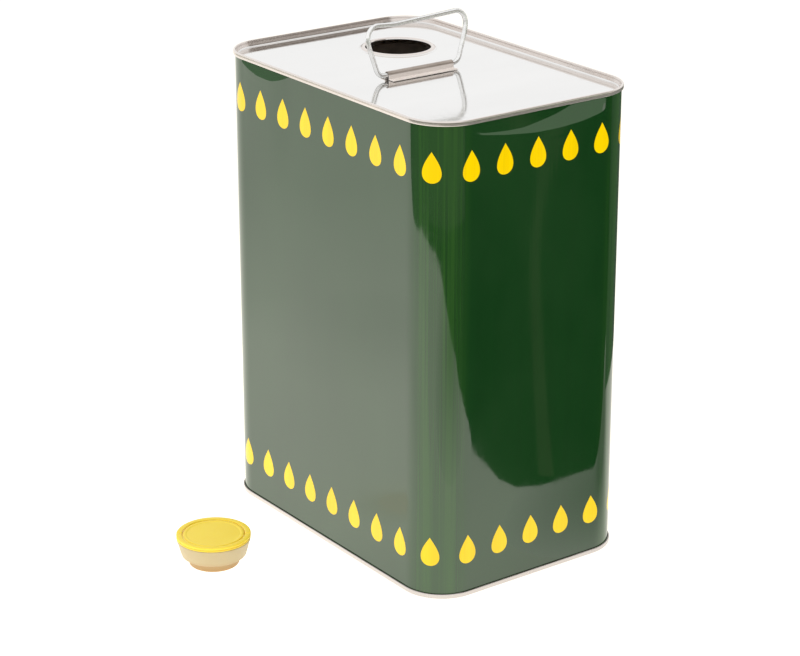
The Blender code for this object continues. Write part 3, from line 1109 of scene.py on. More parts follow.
@dataclass(frozen=True)
class SeamedEnd:
    """A pressed end: panel, chuck wall and the double seam that hooks over the body's flange."""

    sizes: TinSizes
    finishes: Finishes
    place: Place
    corner_steps: int = 20
    pitch: float = 4 * MM
    panel_rows: int = 26
    waviness: float = 0.05 * MM
    shoulder: float = 0.8 * MM
    curl: float = 0.7 * MM
    taper: float = 0.08 * MM

    def seam(self) -> tuple[list[Point2], list[Point2]]:
        """The end's section at its edge as (offset, depth below the crest).

        Returns:
            The weather side from the panel over the seam to the hook's tip, and the inner side back.
        """
        s = self.sizes
        crest, chuck_top, inner = s.crest_radius, -s.plate, -0.95 * MM
        fillet = (inner - s.fillet, -s.countersink + s.fillet)
        upper = arc(fillet, s.fillet, -90, 0, 8)
        upper += arc((chuck_top + crest, -crest), crest, 180, 90, 6)
        outside = ((chuck_top + crest, 0, 0), (s.seam_proud, 0, self.shoulder))
        outside += ((s.seam_proud - self.taper, -s.seam_height, self.curl), (s.hook_gap, -s.seam_height, 0))
        upper += filleted(outside, 8)[1:]
        bend, hook = crest - s.plate, s.seam_proud - s.plate
        lower = [(s.hook_gap, -s.seam_height + s.plate)]
        lower += arc((hook - bend, -s.seam_height + crest), bend, -90, 0, 3)
        lower += arc((hook - bend, -crest), bend, 0, 90, 3)
        lower += arc((chuck_top + crest, -crest), bend, 90, 180, 3)
        lower += arc(fillet, s.fillet + s.plate, 0, -90, 8)
        return upper, lower

    def panel_depth(self, x: float, y: float, share: float) -> float:
        """Height of the panel over its plane: faint waves that die out at its edges.

        Args:
            x: Place across the panel.
            y: Place along the panel.
            share: 0 at the panel's inner edge, 1 at its outer edge.

        Returns:
            The height, outward positive.
        """
        wave = math.sin(x * 61 + 0.8) * math.cos(y * 47 + 0.3) + 0.5 * math.sin(x * 33 - y * 71)
        return self.waviness * wave * smooth(4 * share) * smooth(4 * (1 - share))

    def build(self, neck: "NeckHole | None") -> bpy.types.Object:
        """Make the end.

        Args:
            neck: The neck hole, or None for a plain panel.

        Returns:
            The finished piece.
        """
        s, way = self.sizes, self.place.value
        outline, crest = s.outline(), s.crest(self.place)
        upper, lower = self.seam()
        columns = []
        for station in outline.stations(self.corner_steps, self.pitch):
            rim_up = station.stand((out, crest + way * z) for out, z in upper)
            rim_down = station.stand((out, crest + way * z) for out, z in lower)
            rim = Vector(rim_up[0][:2])
            start, throat = outline.centre.xy, []
            if neck is not None:
                spoke = (rim - neck.centre).normalized()
                start = neck.centre + spoke * neck.foot_radius
                throat = [(*(neck.centre + spoke * r), crest - s.countersink + z) for r, z in neck.section()]
            panel = [(start.x, start.y, 0.0)] if neck is None else []
            for i in range(1, self.panel_rows):
                share = smooth(i / self.panel_rows) if neck else i / self.panel_rows
                spot = start.lerp(rim, share)
                inset = min((spot - start).length, (rim - spot).length)
                wave = self.panel_depth(spot.x, spot.y, share) + self.bead(inset, share, neck is None)
                panel.append((spot.x, spot.y, wave))
            top_z, under_z = crest - way * s.countersink, crest - way * (s.countersink + s.plate)
            over = [(x, y, top_z + way * z) for x, y, z in panel]
            under = [(x, y, under_z + way * z) for x, y, z in reversed(panel)]
            columns.append(throat + over + rim_up + rim_down + under)
        name = f"{self.place.name.lower()}_plate"
        mesh = grid_mesh(name, columns, close_rows=neck is not None)
        dull = self.finishes.seam if self.place is Place.TOP else self.finishes.foot_seam
        piece = piece_from_mesh(name, mesh, (self.finishes.tin, dull))
        self.paint_seam(piece.data, crest, way, neck)
        return dress(piece, "tin", "tinplate", f"{self.place.name.lower()}_end")

    def bead(self, inset: float, share: float, plain: bool) -> float:
        """The plain panel's pressed step, set in from its edge."""
        step = 0.8 * MM
        return -step * smooth((12 * MM - inset) / (3 * MM)) * smooth(2 * share) if plain else 0.0

    def paint_seam(self, mesh: bpy.types.Mesh, crest: float, way: int, neck: "NeckHole | None") -> None:
        """Give the faces of the seam and of the neck's lip the duller tin of the second slot."""
        limit = self.sizes.seam_height + 0.2 * MM
        for face in mesh.polygons:
            depth = (crest - face.center.z) * way
            near_neck = neck is not None and (face.center.xy - neck.centre).length < neck.foot_radius
            on_lip = near_neck and depth < self.sizes.countersink - 0.4 * MM
            if on_lip or depth < limit:
                face.material_index = 1


@dataclass(frozen=True)
class NeckHole:
    """The top panel's pressed lip and the short neck turned down inside it."""

    centre: Vector
    radius: float = 21 * MM
    lip_rise: float = 1.2 * MM
    lip_width: float = 3.6 * MM
    depth: float = 2.6 * MM
    plate: float = 0.3 * MM

    @property
    def foot_radius(self) -> float:
        """Where the lip leaves the panel."""
        return self.radius + self.lip_width

    def section(self) -> list[Point2]:
        """The lip as (radius, height above the panel), from the panel's lower face to its upper face."""
        foot, crown = self.foot_radius, self.radius + self.lip_rise
        shoulder = foot - 1.3 * MM
        under = filleted(
            (
                (foot, -self.plate, 0),
                (foot - 0.5 * MM, -self.plate, 0.8 * MM),
                (shoulder - 0.5 * MM, self.lip_rise - self.plate, 0.6 * MM),
                (crown, self.lip_rise - self.plate, 0),
            ),
            4,
        )
        under += arc((crown, 0), self.lip_rise - self.plate, 100, 180, 6)
        under += [(self.radius + self.plate, -self.depth), (self.radius, -self.depth)]
        over = arc((crown, 0), self.lip_rise, 180, 100, 8)
        over += filleted(
            (
                (crown, self.lip_rise, 0),
                (shoulder - 0.3 * MM, self.lip_rise, 0.9 * MM),
                (foot - 0.3 * MM, 0, 1.1 * MM),
                (foot, 0, 0),
            ),
            5,
        )
        return under + over


@dataclass(frozen=True)
class DropRows:
    """Two rows of printed drops around the body, one near each seam, wrapped onto its surface."""

    sizes: TinSizes
    finishes: Finishes
    pitch: float = 24.57 * MM
    count: int = 29
    before_corner: int = 11
    corner_shift: float = -3.6 * MM
    height: float = 19.1 * MM
    width: float = 12.0 * MM
    low_row: float = 31.4 * MM
    high_row: float = 276.8 * MM
    tip: float = 1.2
    ink: float = 0.04 * MM
    sunk: float = 0.02 * MM

    def build(self, body: bpy.types.Object) -> bpy.types.Object:
        """Print the drops on the body skin.

        Args:
            body: The body skin that the ink lies on.

        Returns:
            The finished print.
        """
        inputs = {
            "Body": body,
            "Count": self.count,
            "First": self.corner_shift - self.before_corner * self.pitch,
            "Pitch": self.pitch,
            "Low Row": self.low_row,
            "High Row": self.high_row,
            "Drop Height": self.height,
            "Drop Width": self.width,
            "Ink": self.ink,
            "Length": self.sizes.outline().length(),
        }
        nodes = Nodes("drop_rows", inputs)
        flat = self.flat_drops(nodes)
        wrapped = self.wrap(nodes, flat)
        nodes.finish(self.thicken(nodes, wrapped), self.finishes.yellow)
        stations = self.sizes.outline().stations(24, 4 * MM)
        seed = line_object("outline_path", [(*station.point, 0.0) for station in stations], closed=True)
        piece = nodes.bake("drop_print", seed)
        return dress(piece, "tin", "green_lacquer")

    def flat_drops(self, nodes: Nodes) -> bpy.types.NodeSocket:
        """Both rows laid out flat: distance along the outline as X, height as Z."""
        given = nodes.given
        grid = nodes.add("GeometryNodeMeshGrid", Size_X=1.0, Size_Y=1.0, Vertices_X=13, Vertices_Y=37)
        place = nodes.add("ShaderNodeSeparateXYZ", Vector=nodes.add("GeometryNodeInputPosition").outputs[0])
        turn = nodes.math("MULTIPLY", nodes.math("SUBTRACT", 0.5, place.outputs["Y"]), math.pi)
        half_sine = nodes.math("SINE", nodes.math("MULTIPLY", turn, 0.5))
        spread = nodes.math("MULTIPLY", nodes.math("SINE", turn), nodes.math("POWER", half_sine, self.tip))
        widest = max(math.sin(a) * math.sin(a / 2) ** self.tip for a in np.linspace(0, math.pi, 200))
        across = nodes.math("MULTIPLY", place.outputs["X"], nodes.math("DIVIDE", spread, widest))
        x = nodes.math("MULTIPLY", across, given["Drop Width"])
        half_height = nodes.math("MULTIPLY", given["Drop Height"], 0.5)
        z = nodes.math("MULTIPLY", nodes.math("COSINE", turn), half_height)
        shaped = nodes.add(
            "GeometryNodeSetPosition", Geometry=grid.outputs["Mesh"], Position=nodes.combine(x, 0.0, z)
        )
        drop = nodes.add("GeometryNodeMergeByDistance", Geometry=shaped.outputs[0], Distance=1e-6)
        rows = nodes.add("GeometryNodeJoinGeometry")
        for row in ("Low Row", "High Row"):
            start = nodes.combine(given["First"], 0.0, given[row])
            step = nodes.combine(given["Pitch"], 0.0, 0.0)
            line = nodes.add("GeometryNodeMeshLine", Count=given["Count"], Start_Location=start, Offset=step)
            nodes.feed(rows.inputs[0], line.outputs[0])
        placed = nodes.add("GeometryNodeInstanceOnPoints", Points=rows.outputs[0], Instance=drop.outputs[0])
        return nodes.add("GeometryNodeRealizeInstances", Geometry=placed.outputs[0]).outputs[0]

    def wrap(self, nodes: Nodes, flat: bpy.types.NodeSocket) -> bpy.types.NodeSocket:
        """Wrap the flat rows around the outline and press them onto the body."""
        place = nodes.add("ShaderNodeSeparateXYZ", Vector=nodes.add("GeometryNodeInputPosition").outputs[0])
        distance = nodes.math("FLOORED_MODULO", place.outputs["X"], nodes.given["Length"])
        curve = nodes.add("GeometryNodeMeshToCurve", Mesh=nodes.given["Geometry"])
        share = nodes.math("DIVIDE", distance, nodes.given["Length"])
        sample = nodes.add("GeometryNodeSampleCurve", mode="FACTOR", Curves=curve.outputs[0], Factor=share)
        normal = nodes.vector("CROSS_PRODUCT", sample.outputs["Tangent"], (0.0, 0.0, 1.0))
        spot = nodes.vector("ADD", sample.outputs["Position"], nodes.combine(0.0, 0.0, place.outputs["Z"]))
        start = nodes.vector("ADD", spot, nodes.scaled(normal, 5 * MM))
        target = nodes.add("GeometryNodeObjectInfo", transform_space="ORIGINAL", Object=nodes.given["Body"])
        cast = nodes.add(
            "GeometryNodeRaycast",
            Target_Geometry=target.outputs["Geometry"],
            Source_Position=start,
            Ray_Direction=nodes.scaled(normal, -1.0),
            Ray_Length=20 * MM,
        )
        sunk = nodes.vector("ADD", cast.outputs["Hit Position"], nodes.scaled(normal, -self.sunk))
        return nodes.add("GeometryNodeSetPosition", Geometry=flat, Position=sunk).outputs[0]

    def thicken(self, nodes: Nodes, sheet: bpy.types.NodeSocket) -> bpy.types.NodeSocket:
        """Close the sheet of ink into a thin solid."""
        reach = nodes.math("ADD", nodes.given["Ink"], self.sunk)
        raised = nodes.add("GeometryNodeExtrudeMesh", mode="FACES", Mesh=sheet, Individual=False)
        nodes.feed(raised.inputs["Offset Scale"], reach)
        under = nodes.add("GeometryNodeFlipFaces", Mesh=sheet)
        both = nodes.add("GeometryNodeJoinGeometry")
        nodes.feed(both.inputs[0], raised.outputs["Mesh"])
        nodes.feed(both.inputs[0], under.outputs[0])
        return nodes.add("GeometryNodeMergeByDistance", Geometry=both.outputs[0], Distance=1e-6).outputs[0]


class Tin:
    """The tin: body, both ends, the printed drops and the hidden sealing compound."""

    def __init__(self, sizes: TinSizes, finishes: Finishes) -> None:
        """Keep the shared sizes and finishes."""
        self.sizes = sizes
        self.finishes = finishes

    def neck(self) -> NeckHole:
        """The neck hole, at its place in the stated opening."""
        openings = frame["record"]["physics"]["openings"]
        low, high = next(o["box_m"] for o in openings if o["name"] == "neck_hole")
        return NeckHole(Vector(((low[0] + high[0]) / 2, (low[1] + high[1]) / 2)))

    def build(self) -> None:
        """Make every piece of the tin."""
        body = TinBody(self.sizes, self.finishes).build()
        SeamedEnd(self.sizes, self.finishes, Place.TOP).build(self.neck())
        SeamedEnd(self.sizes, self.finishes, Place.BOTTOM).build(None)
        DropRows(self.sizes, self.finishes).build(body)
        for node in ("top_seam_compound", "bottom_seam_compound"):
            materials = frame["nodes"][node].data.materials
            materials.clear()
            materials.append(self.finishes.compound)


# ---- the handle ----------------------------------------------------------------------------------------


@dataclass(frozen=True)
class Saddle:
    """The omega strip that holds the wire, with two spot welds on each flange."""

    finishes: Finishes
    hinge: Vector
    bore: float = 1.8 * MM
    strip: float = 0.5 * MM
    lift: float = 2.7 * MM
    columns: int = 150
    weld_radius: float = 1.3 * MM
    weld_depth: float = 0.28 * MM
    soft_edge: float = 0.06 * MM

    def section(self, half_width: float) -> list[Point2]:
        """The strip's section as (x, z) about the hinge, once around."""
        foot, back, edge = -self.lift, self.bore + self.strip, half_width
        root = 0.6 * MM
        flange = [edge - (edge - back - root) * i / 10 for i in range(11)]
        inner = [(-x, foot) for x in flange] + [(-self.bore, foot)] + arc((0, 0), self.bore, 180, 0, 16)
        inner += [(self.bore, foot)] + [(x, foot) for x in reversed(flange)]
        upper = [(x, foot + self.strip) for x in flange]
        upper += arc((back + root, foot + self.strip + root), root, -90, -180, 4)
        upper += arc((0, 0), back, 0, 180, 20)
        upper += arc((-back - root, foot + self.strip + root), root, 0, -90, 4)
        upper += [(-x, foot + self.strip) for x in reversed(flange)]
        return inner + upper

    def dimple(self, x: float, y: float, welds: Sequence[Point2]) -> float:
        """How far a spot weld presses the flange down, with its raised ring."""
        depth = 0.0
        for weld_x, weld_y in welds:
            reach = math.hypot(x - weld_x, y - weld_y) / self.weld_radius
            depth += -math.exp(-((reach / 0.75) ** 4)) + 0.25 * math.exp(-(((reach - 1.15) / 0.25) ** 2))
        return self.weld_depth * depth

    def build(self) -> bpy.types.Object:
        """Make the saddle."""
        low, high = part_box("handle_saddle")
        half_width = (high.x - low.x) / 2
        middle, length = (low.y + high.y) / 2, high.y - low.y
        aside = (half_width + self.bore + self.strip) / 2 + 0.4 * MM
        weld_rows = (middle - 0.13 * length, middle + 0.10 * length)
        welds = [(side * aside, y) for side in (-1, 1) for y in weld_rows]
        section = self.section(half_width)
        rows = []
        for i in range(self.columns + 1):
            y = low.y + length * i / self.columns
            row = []
            for x, z in section:
                flat = z < -self.lift + 1.1 * self.strip and abs(x) > self.bore + 2 * self.strip
                pressed = self.dimple(x, y, welds) if flat else 0.0
                row.append((self.hinge.x + x, y, self.hinge.z + z + pressed))
            rows.append(row)
        work = bmesh.new()
        verts = add_skin(work, rows)
        for end in (verts[0], verts[-1]):
            work.faces.new(end)
        mesh = finished_mesh("saddle_strip", work, merge=False)
        piece = piece_from_mesh("saddle_strip", mesh, (self.finishes.saddle,))
        bevel = piece.modifiers.new("soft_edges", "BEVEL")
        bevel.width, bevel.segments, bevel.limit_method = self.soft_edge, 2, "ANGLE"
        bevel.angle_limit = math.radians(50)
        return dress(piece, "tin", "saddle_tinplate", "handle_saddle")


@dataclass(frozen=True)
class WireBail:
    """The wire handle: one bent wire whose ends lie inside the saddle."""

    finishes: Finishes
    hinge: Vector
    radius: float = 1.5 * MM
    lean: float = math.radians(-5)
    inside: float = 20 * MM
    wrist: float = 5.5 * MM
    waist: float = 26 * MM
    knuckle: float = 7.5 * MM
    slight: float = 45 * MM
    waist_height: float = 21 * MM
    front_drop: float = 0.7 * MM
    dip_from_front: float = 20 * MM
    dip: float = 2.3 * MM

    def corners(self) -> list[tuple[float, float, float]]:
        """The bent wire's corners as (y, height along the lean, bend radius)."""
        low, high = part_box("handle_wire")
        saddle_low, saddle_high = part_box("handle_saddle")
        front, back = low.y + self.radius, high.y - self.radius
        grip = (high.z - self.radius - self.hinge.z) / math.cos(self.lean)
        return [
            (saddle_low.y + self.inside, 0.0, 0.0),
            (saddle_low.y - 6.4 * MM, 0.0, self.wrist),
            (front, self.waist_height, self.waist),
            (front, grip - self.front_drop, self.knuckle),
            (front + self.dip_from_front, grip - self.dip, self.slight),
            (back, grip, self.knuckle),
            (back, self.waist_height, self.waist),
            (saddle_high.y + 4.9 * MM, 0.0, self.wrist),
            (saddle_high.y - self.inside, 0.0, 0.0),
        ]

    def build(self) -> bpy.types.Object:
        """Bend the wire."""
        nodes = Nodes("bent_wire", {"Wire Radius": self.radius, "Bend Steps": 14, "Sides": 28})
        curve = nodes.add("GeometryNodeMeshToCurve", Mesh=nodes.given["Geometry"])
        bend = nodes.add("GeometryNodeInputNamedAttribute", data_type="FLOAT", Name="bend")
        fillet = nodes.add(
            "GeometryNodeFilletCurve",
            mode="POLY",
            Curve=curve.outputs[0],
            Radius=bend.outputs["Attribute"],
            Count=nodes.given["Bend Steps"],
        )
        even = nodes.add("GeometryNodeResampleCurve", mode="LENGTH", Curve=fillet.outputs[0], Length=1.2 * MM)
        ring = nodes.add(
            "GeometryNodeCurvePrimitiveCircle",
            mode="RADIUS",
            Resolution=nodes.given["Sides"],
            Radius=nodes.given["Wire Radius"],
        )
        tube = nodes.add(
            "GeometryNodeCurveToMesh", Curve=even.outputs[0], Profile_Curve=ring.outputs[0], Fill_Caps=True
        )
        nodes.finish(tube.outputs[0], self.finishes.wire)
        corners = self.corners()
        side, rise = math.sin(self.lean), math.cos(self.lean)
        path = [(self.hinge.x + h * side, y, self.hinge.z + h * rise) for y, h, _ in corners]
        seed = line_object("wire_path", path, closed=False)
        attribute = seed.data.attributes.new("bend", "FLOAT", "POINT")
        attribute.data.foreach_set("value", [radius for _, _, radius in corners])
        return dress(nodes.bake("wire_bail", seed), "handle", "galvanised_wire", "handle_wire")


# ---- the closure ---------------------------------------------------------------------------------------


@dataclass(frozen=True)
class Closure:
    """The press-in closure: cream plug and spout, yellow cap and its two pull rings."""

    finishes: Finishes
    steps: int = 112
    wall: float = 1.3 * MM
    gap: float = 0.3 * MM
    spout_radius: float = 14 * MM
    spout_wall: float = 1.2 * MM
    sleeve_top: float = 12.5 * MM
    membrane: float = 1.0 * MM

    def lathe(
        self, name: str, profile: Sequence[Point2], finish: bpy.types.Material, closed: bool = False
    ) -> bpy.types.Object:
        """Turn a profile of (radius, height) about the closure's axis.

        Args:
            name: The piece's name.
            profile: The section, from axis to axis, or a whole loop.
            finish: The piece's material.
            closed: Whether the profile is a loop.

        Returns:
            The turned piece.
        """
        low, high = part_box("closure_cap")
        axis = (low + high) / 2
        columns = []
        for i in range(self.steps):
            angle = 2 * math.pi * i / self.steps
            spoke = Vector((math.cos(angle), math.sin(angle)))
            columns.append([(*(axis.xy + r * spoke), z) for r, z in profile])
        return piece_from_mesh(name, grid_mesh(name, columns, close_rows=closed), (finish,))

    def plug(self) -> bpy.types.Object:
        """The cream plug: tapering skirt, ring across, sleeve and tear-out floor."""
        low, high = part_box("closure_body")
        flange = (high.x - low.x) / 2
        top, foot = high.z, 16 * MM
        skirt, shoulder, waist, step = 20.4 * MM, 22.8 * MM, 14.5 * MM, 5.9 * MM
        sleeve, lip = foot - self.wall, self.spout_radius + self.gap
        corners = [
            (0, 0, 0), (foot, 0, 0.9 * MM), (foot, step, 0.5 * MM), (skirt, step, 1.3 * MM),
            (shoulder, waist, 8 * MM), (flange, top - 0.9 * MM, 0.5 * MM), (flange, top, 0.25 * MM),
            (flange - self.wall, top, 0.25 * MM), (shoulder - self.wall, waist, 6 * MM),
            (skirt - self.wall, step + self.wall, 0.8 * MM), (foot, step + self.wall, 0.6 * MM),
            (foot, self.sleeve_top, 0.3 * MM), (lip, self.sleeve_top, 0.3 * MM),
            (lip, self.sleeve_top - 0.8 * MM, 0.1 * MM), (sleeve, self.sleeve_top - 1.2 * MM, 0.1 * MM),
            (sleeve, self.membrane, 0.4 * MM), (0, self.membrane, 0),
        ]
        piece = self.lathe("plug", filleted(corners), self.finishes.cream)
        return dress(piece, "closure", "cream_plastic", "closure_body")

    def spout(self) -> bpy.types.Object:
        """The pull-up spout with the bead around its foot."""
        low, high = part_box("pouring_spout")
        bore, bead = self.spout_radius - self.spout_wall, 0.4 * MM
        outer = [
            (bore, low.z, 0),
            (self.spout_radius + bead, low.z, 0.2 * MM),
            (self.spout_radius + bead, low.z + 1.1 * MM, 0.3 * MM),
            (self.spout_radius, low.z + 1.5 * MM, 0.2 * MM),
            (self.spout_radius, high.z, 0.4 * MM),
            (bore, high.z, 0.3 * MM),
            (bore, low.z + 0.1 * MM, 0),
        ]
        piece = self.lathe("spout", filleted(outer), self.finishes.cream, closed=True)
        return dress(piece, "spout", "cream_plastic", "pouring_spout")

    def cap(self) -> bpy.types.Object:
        """The yellow cap: shoulder, raised disc and the skirt that grips the spout."""
        low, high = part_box("closure_cap")
        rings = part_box("pull_ring_front")[0].z
        radius = (high.x - low.x) / 2
        base, ledge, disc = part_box("closure_body")[1].z + self.gap, rings - self.gap, 19.3 * MM
        skirt, skirt_foot = self.spout_radius + self.gap, low.z
        corners = [
            (0, base + self.gap, 0), (skirt, base + self.gap, 0.1 * MM), (skirt, skirt_foot, 0.2 * MM),
            (skirt + self.wall, skirt_foot, 0.2 * MM), (skirt + self.wall, base, 0.2 * MM),
            (radius, base, 0.25 * MM), (radius, ledge, 0.2 * MM), (disc, ledge, 0.15 * MM),
            (disc, high.z, 0.5 * MM), (disc - 1.6 * MM, high.z, 0.6 * MM),
            (disc - 2.4 * MM, high.z - 0.3 * MM, 0.8 * MM), (0, high.z - 0.35 * MM, 0),
        ]
        piece = self.lathe("cap", filleted(corners), self.finishes.cap)
        return dress(piece, "cap", "yellow_plastic", "closure_cap")

    def pull_ring(self, ring: Ring) -> bpy.types.Object:
        """One half ring, rounded all over, whose ends are rounds about its own hinge.

        Args:
            ring: Which of the two rings.

        Returns:
            The finished ring.
        """
        name = f"pull_ring_{ring.name.lower()}"
        low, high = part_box(name)
        joint = next(j for j in frame["joints"] if j["child"] == f"{ring.name.lower()}_ring")
        cap_low, cap_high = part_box("closure_cap")
        centre = (cap_low + cap_high) / 2
        along = Vector(joint["axis"]) * ring.value
        across = Vector((-along.y, along.x, 0.0))
        rho = (high.z - low.z) / 2
        axis_y = abs((Vector(joint["pos_m"]) - centre).dot(across))
        inner, outer = 20.1 * MM, (cap_high.x - cap_low.x) / 2
        soft = 0.34 * MM
        upper = filleted(((inner, 0, 0), (inner, rho, soft), (outer, rho, 1.2 * soft), (outer, 0, 0)), 4)
        loop = upper + [(r, -z) for r, z in reversed(upper[1:-1])]
        cap_steps, steps = 8, 64

        def spot(x: float, y: float, z: float) -> Vector:
            """A point from the ring's own axes to the frame's."""
            flat = Vector((centre.x, centre.y, 0)) + along * x + across * (ring.value * y)
            return Vector((flat.x, flat.y, joint["pos_m"][2] + z))

        def slice_at(share: float) -> list[Vector]:
            """The ring's section at a share of the way from one end to the other."""
            starts = [math.asin(axis_y / r) for r, _ in loop]
            angles = [start + (math.pi - 2 * start) * share for start in starts]
            return [spot(r * math.cos(a), r * math.sin(a), z) for (r, z), a in zip(loop, angles)]

        def round_at(end: int, turn: float) -> list[Vector]:
            """The upper half of the section at an end, turned about the hinge."""
            points = []
            for r, z in upper:
                reach = end * math.sqrt(r * r - axis_y * axis_y)
                points.append(spot(reach, axis_y - z * math.sin(turn), z * math.cos(turn)))
            return points

        work = bmesh.new()
        add_skin(work, [slice_at(i / steps) for i in range(steps + 1)])
        for end in (1, -1):
            fan = [round_at(end, math.pi * j / cap_steps) for j in range(cap_steps + 1)]
            add_skin(work, fan, loops=False)
        bail = f"{ring.name.lower()}_bail"
        piece = piece_from_mesh(bail, finished_mesh(bail, work), (self.finishes.cap,))
        return dress(piece, f"{ring.name.lower()}_ring", "yellow_plastic", name)

    def build(self) -> None:
        """Make every piece of the closure, which the tin's gloss doesn't mirror."""
        pieces = [self.plug(), self.spout(), self.cap()]
        pieces += [self.pull_ring(ring) for ring in Ring]
        for piece in pieces:
            piece.visible_glossy = False


# ---- stage, light and camera ---------------------------------------------------------------------------


# The table's rounded edge to the front and to the side, in millimetres from the tin's middle.
TABLE_FRONT = (
    (-2300, -3200), (-620, -900), (-480, -780), (-286, -722), (42, -790), (251, -743), (453, -626),
    (525, -533), (558, -445), (562, -334), (560, -252), (543, -200), (532, -140), (518, -86), (496, -60),
    (458, -21), (430, 27), (389, 73), (345, 100),
)
TABLE_SIDE = (
    (700, 150), (500, 40), (426, 22), (386, 63), (342, 99), (318, 100), (298, 92), (280, 81), (260, 74),
    (239, 67), (219, 69), (210, 85), (209, 100), (211, 118), (215, 150), (217, 205), (228, 275), (250, 350),
    (262, 420), (290, 500), (360, 640), (500, 850), (800, 1350),
)


@dataclass(frozen=True)
class ShadePool:
    """A soft, dimmer pool on the table, as the tin's gloss sees it: an ellipse that is darkest out to
    `core` of its size and as bright as the table at its rim."""

    name: str
    centre: Point2
    along: float
    across: float
    turn: float
    dark: float
    rim: float
    core: float


SHADE_POOLS = (
    ShadePool("behind_shade", (198 * MM, 232 * MM), 225 * MM, 80 * MM, 75, 0.36, 1.24, 0.4),
    ShadePool("table_edge_shade", (520 * MM, -200 * MM), 280 * MM, 260 * MM, -80, 0.5, 1.16, 0.1),
)


# The dull streak that a distant light leaves: name, half width and colour of each of its layers.
GLINTS = (
    ("glint", 6.0 * MM, (0.10, 0.10, 0.06)),
    ("glint_core", 3.2 * MM, (0.25, 0.24, 0.15)),
)


@dataclass(frozen=True)
class FloorFinish:
    """A pale floor that mostly glows by itself, so that shadows stay soft and faint.

    The glow falls by `fall`, and again by `step`, between two distances from `middle`. Close to `dip_at` it
    is lower by `dip`.
    """

    name: str = "pale_floor"
    colour: Colour = (0.30, 0.30, 0.295)
    light: Colour = (1.0, 0.952, 0.865)
    glow: float = 1.25
    middle: Point3 = (-0.18, -0.14, 0.0)
    fall_between: Point2 = (0.20, 0.60)
    fall: float = 0.27
    step_between: Point2 = (0.17, 0.28)
    step: float = 0.14
    dip_at: Point3 = (-0.27, -0.33, 0.0)
    dip_between: Point2 = (0.03, 0.12)
    dip: float = 0.13

    def material(self) -> bpy.types.Material:
        """Build the material."""
        material, shader, surface = new_material(self.name)
        surface.inputs["Base Color"].default_value = (*self.colour, 1)
        surface.inputs["Roughness"].default_value = 0.9
        surface.inputs["Specular IOR Level"].default_value = 0.0
        surface.inputs["Emission Color"].default_value = (*self.light, 1)
        away = shader.vector("DISTANCE", shader.place(), self.middle)
        glow = shader.spread(away, *self.fall_between, self.glow, self.glow - self.fall)
        glow = shader.math("SUBTRACT", glow, shader.spread(away, *self.step_between, 0, self.step))
        near = shader.vector("DISTANCE", shader.place(), self.dip_at)
        glow = shader.math("SUBTRACT", glow, shader.spread(near, *self.dip_between, self.dip, 0))
        shader.join(glow, surface.inputs["Emission Strength"])
        return material


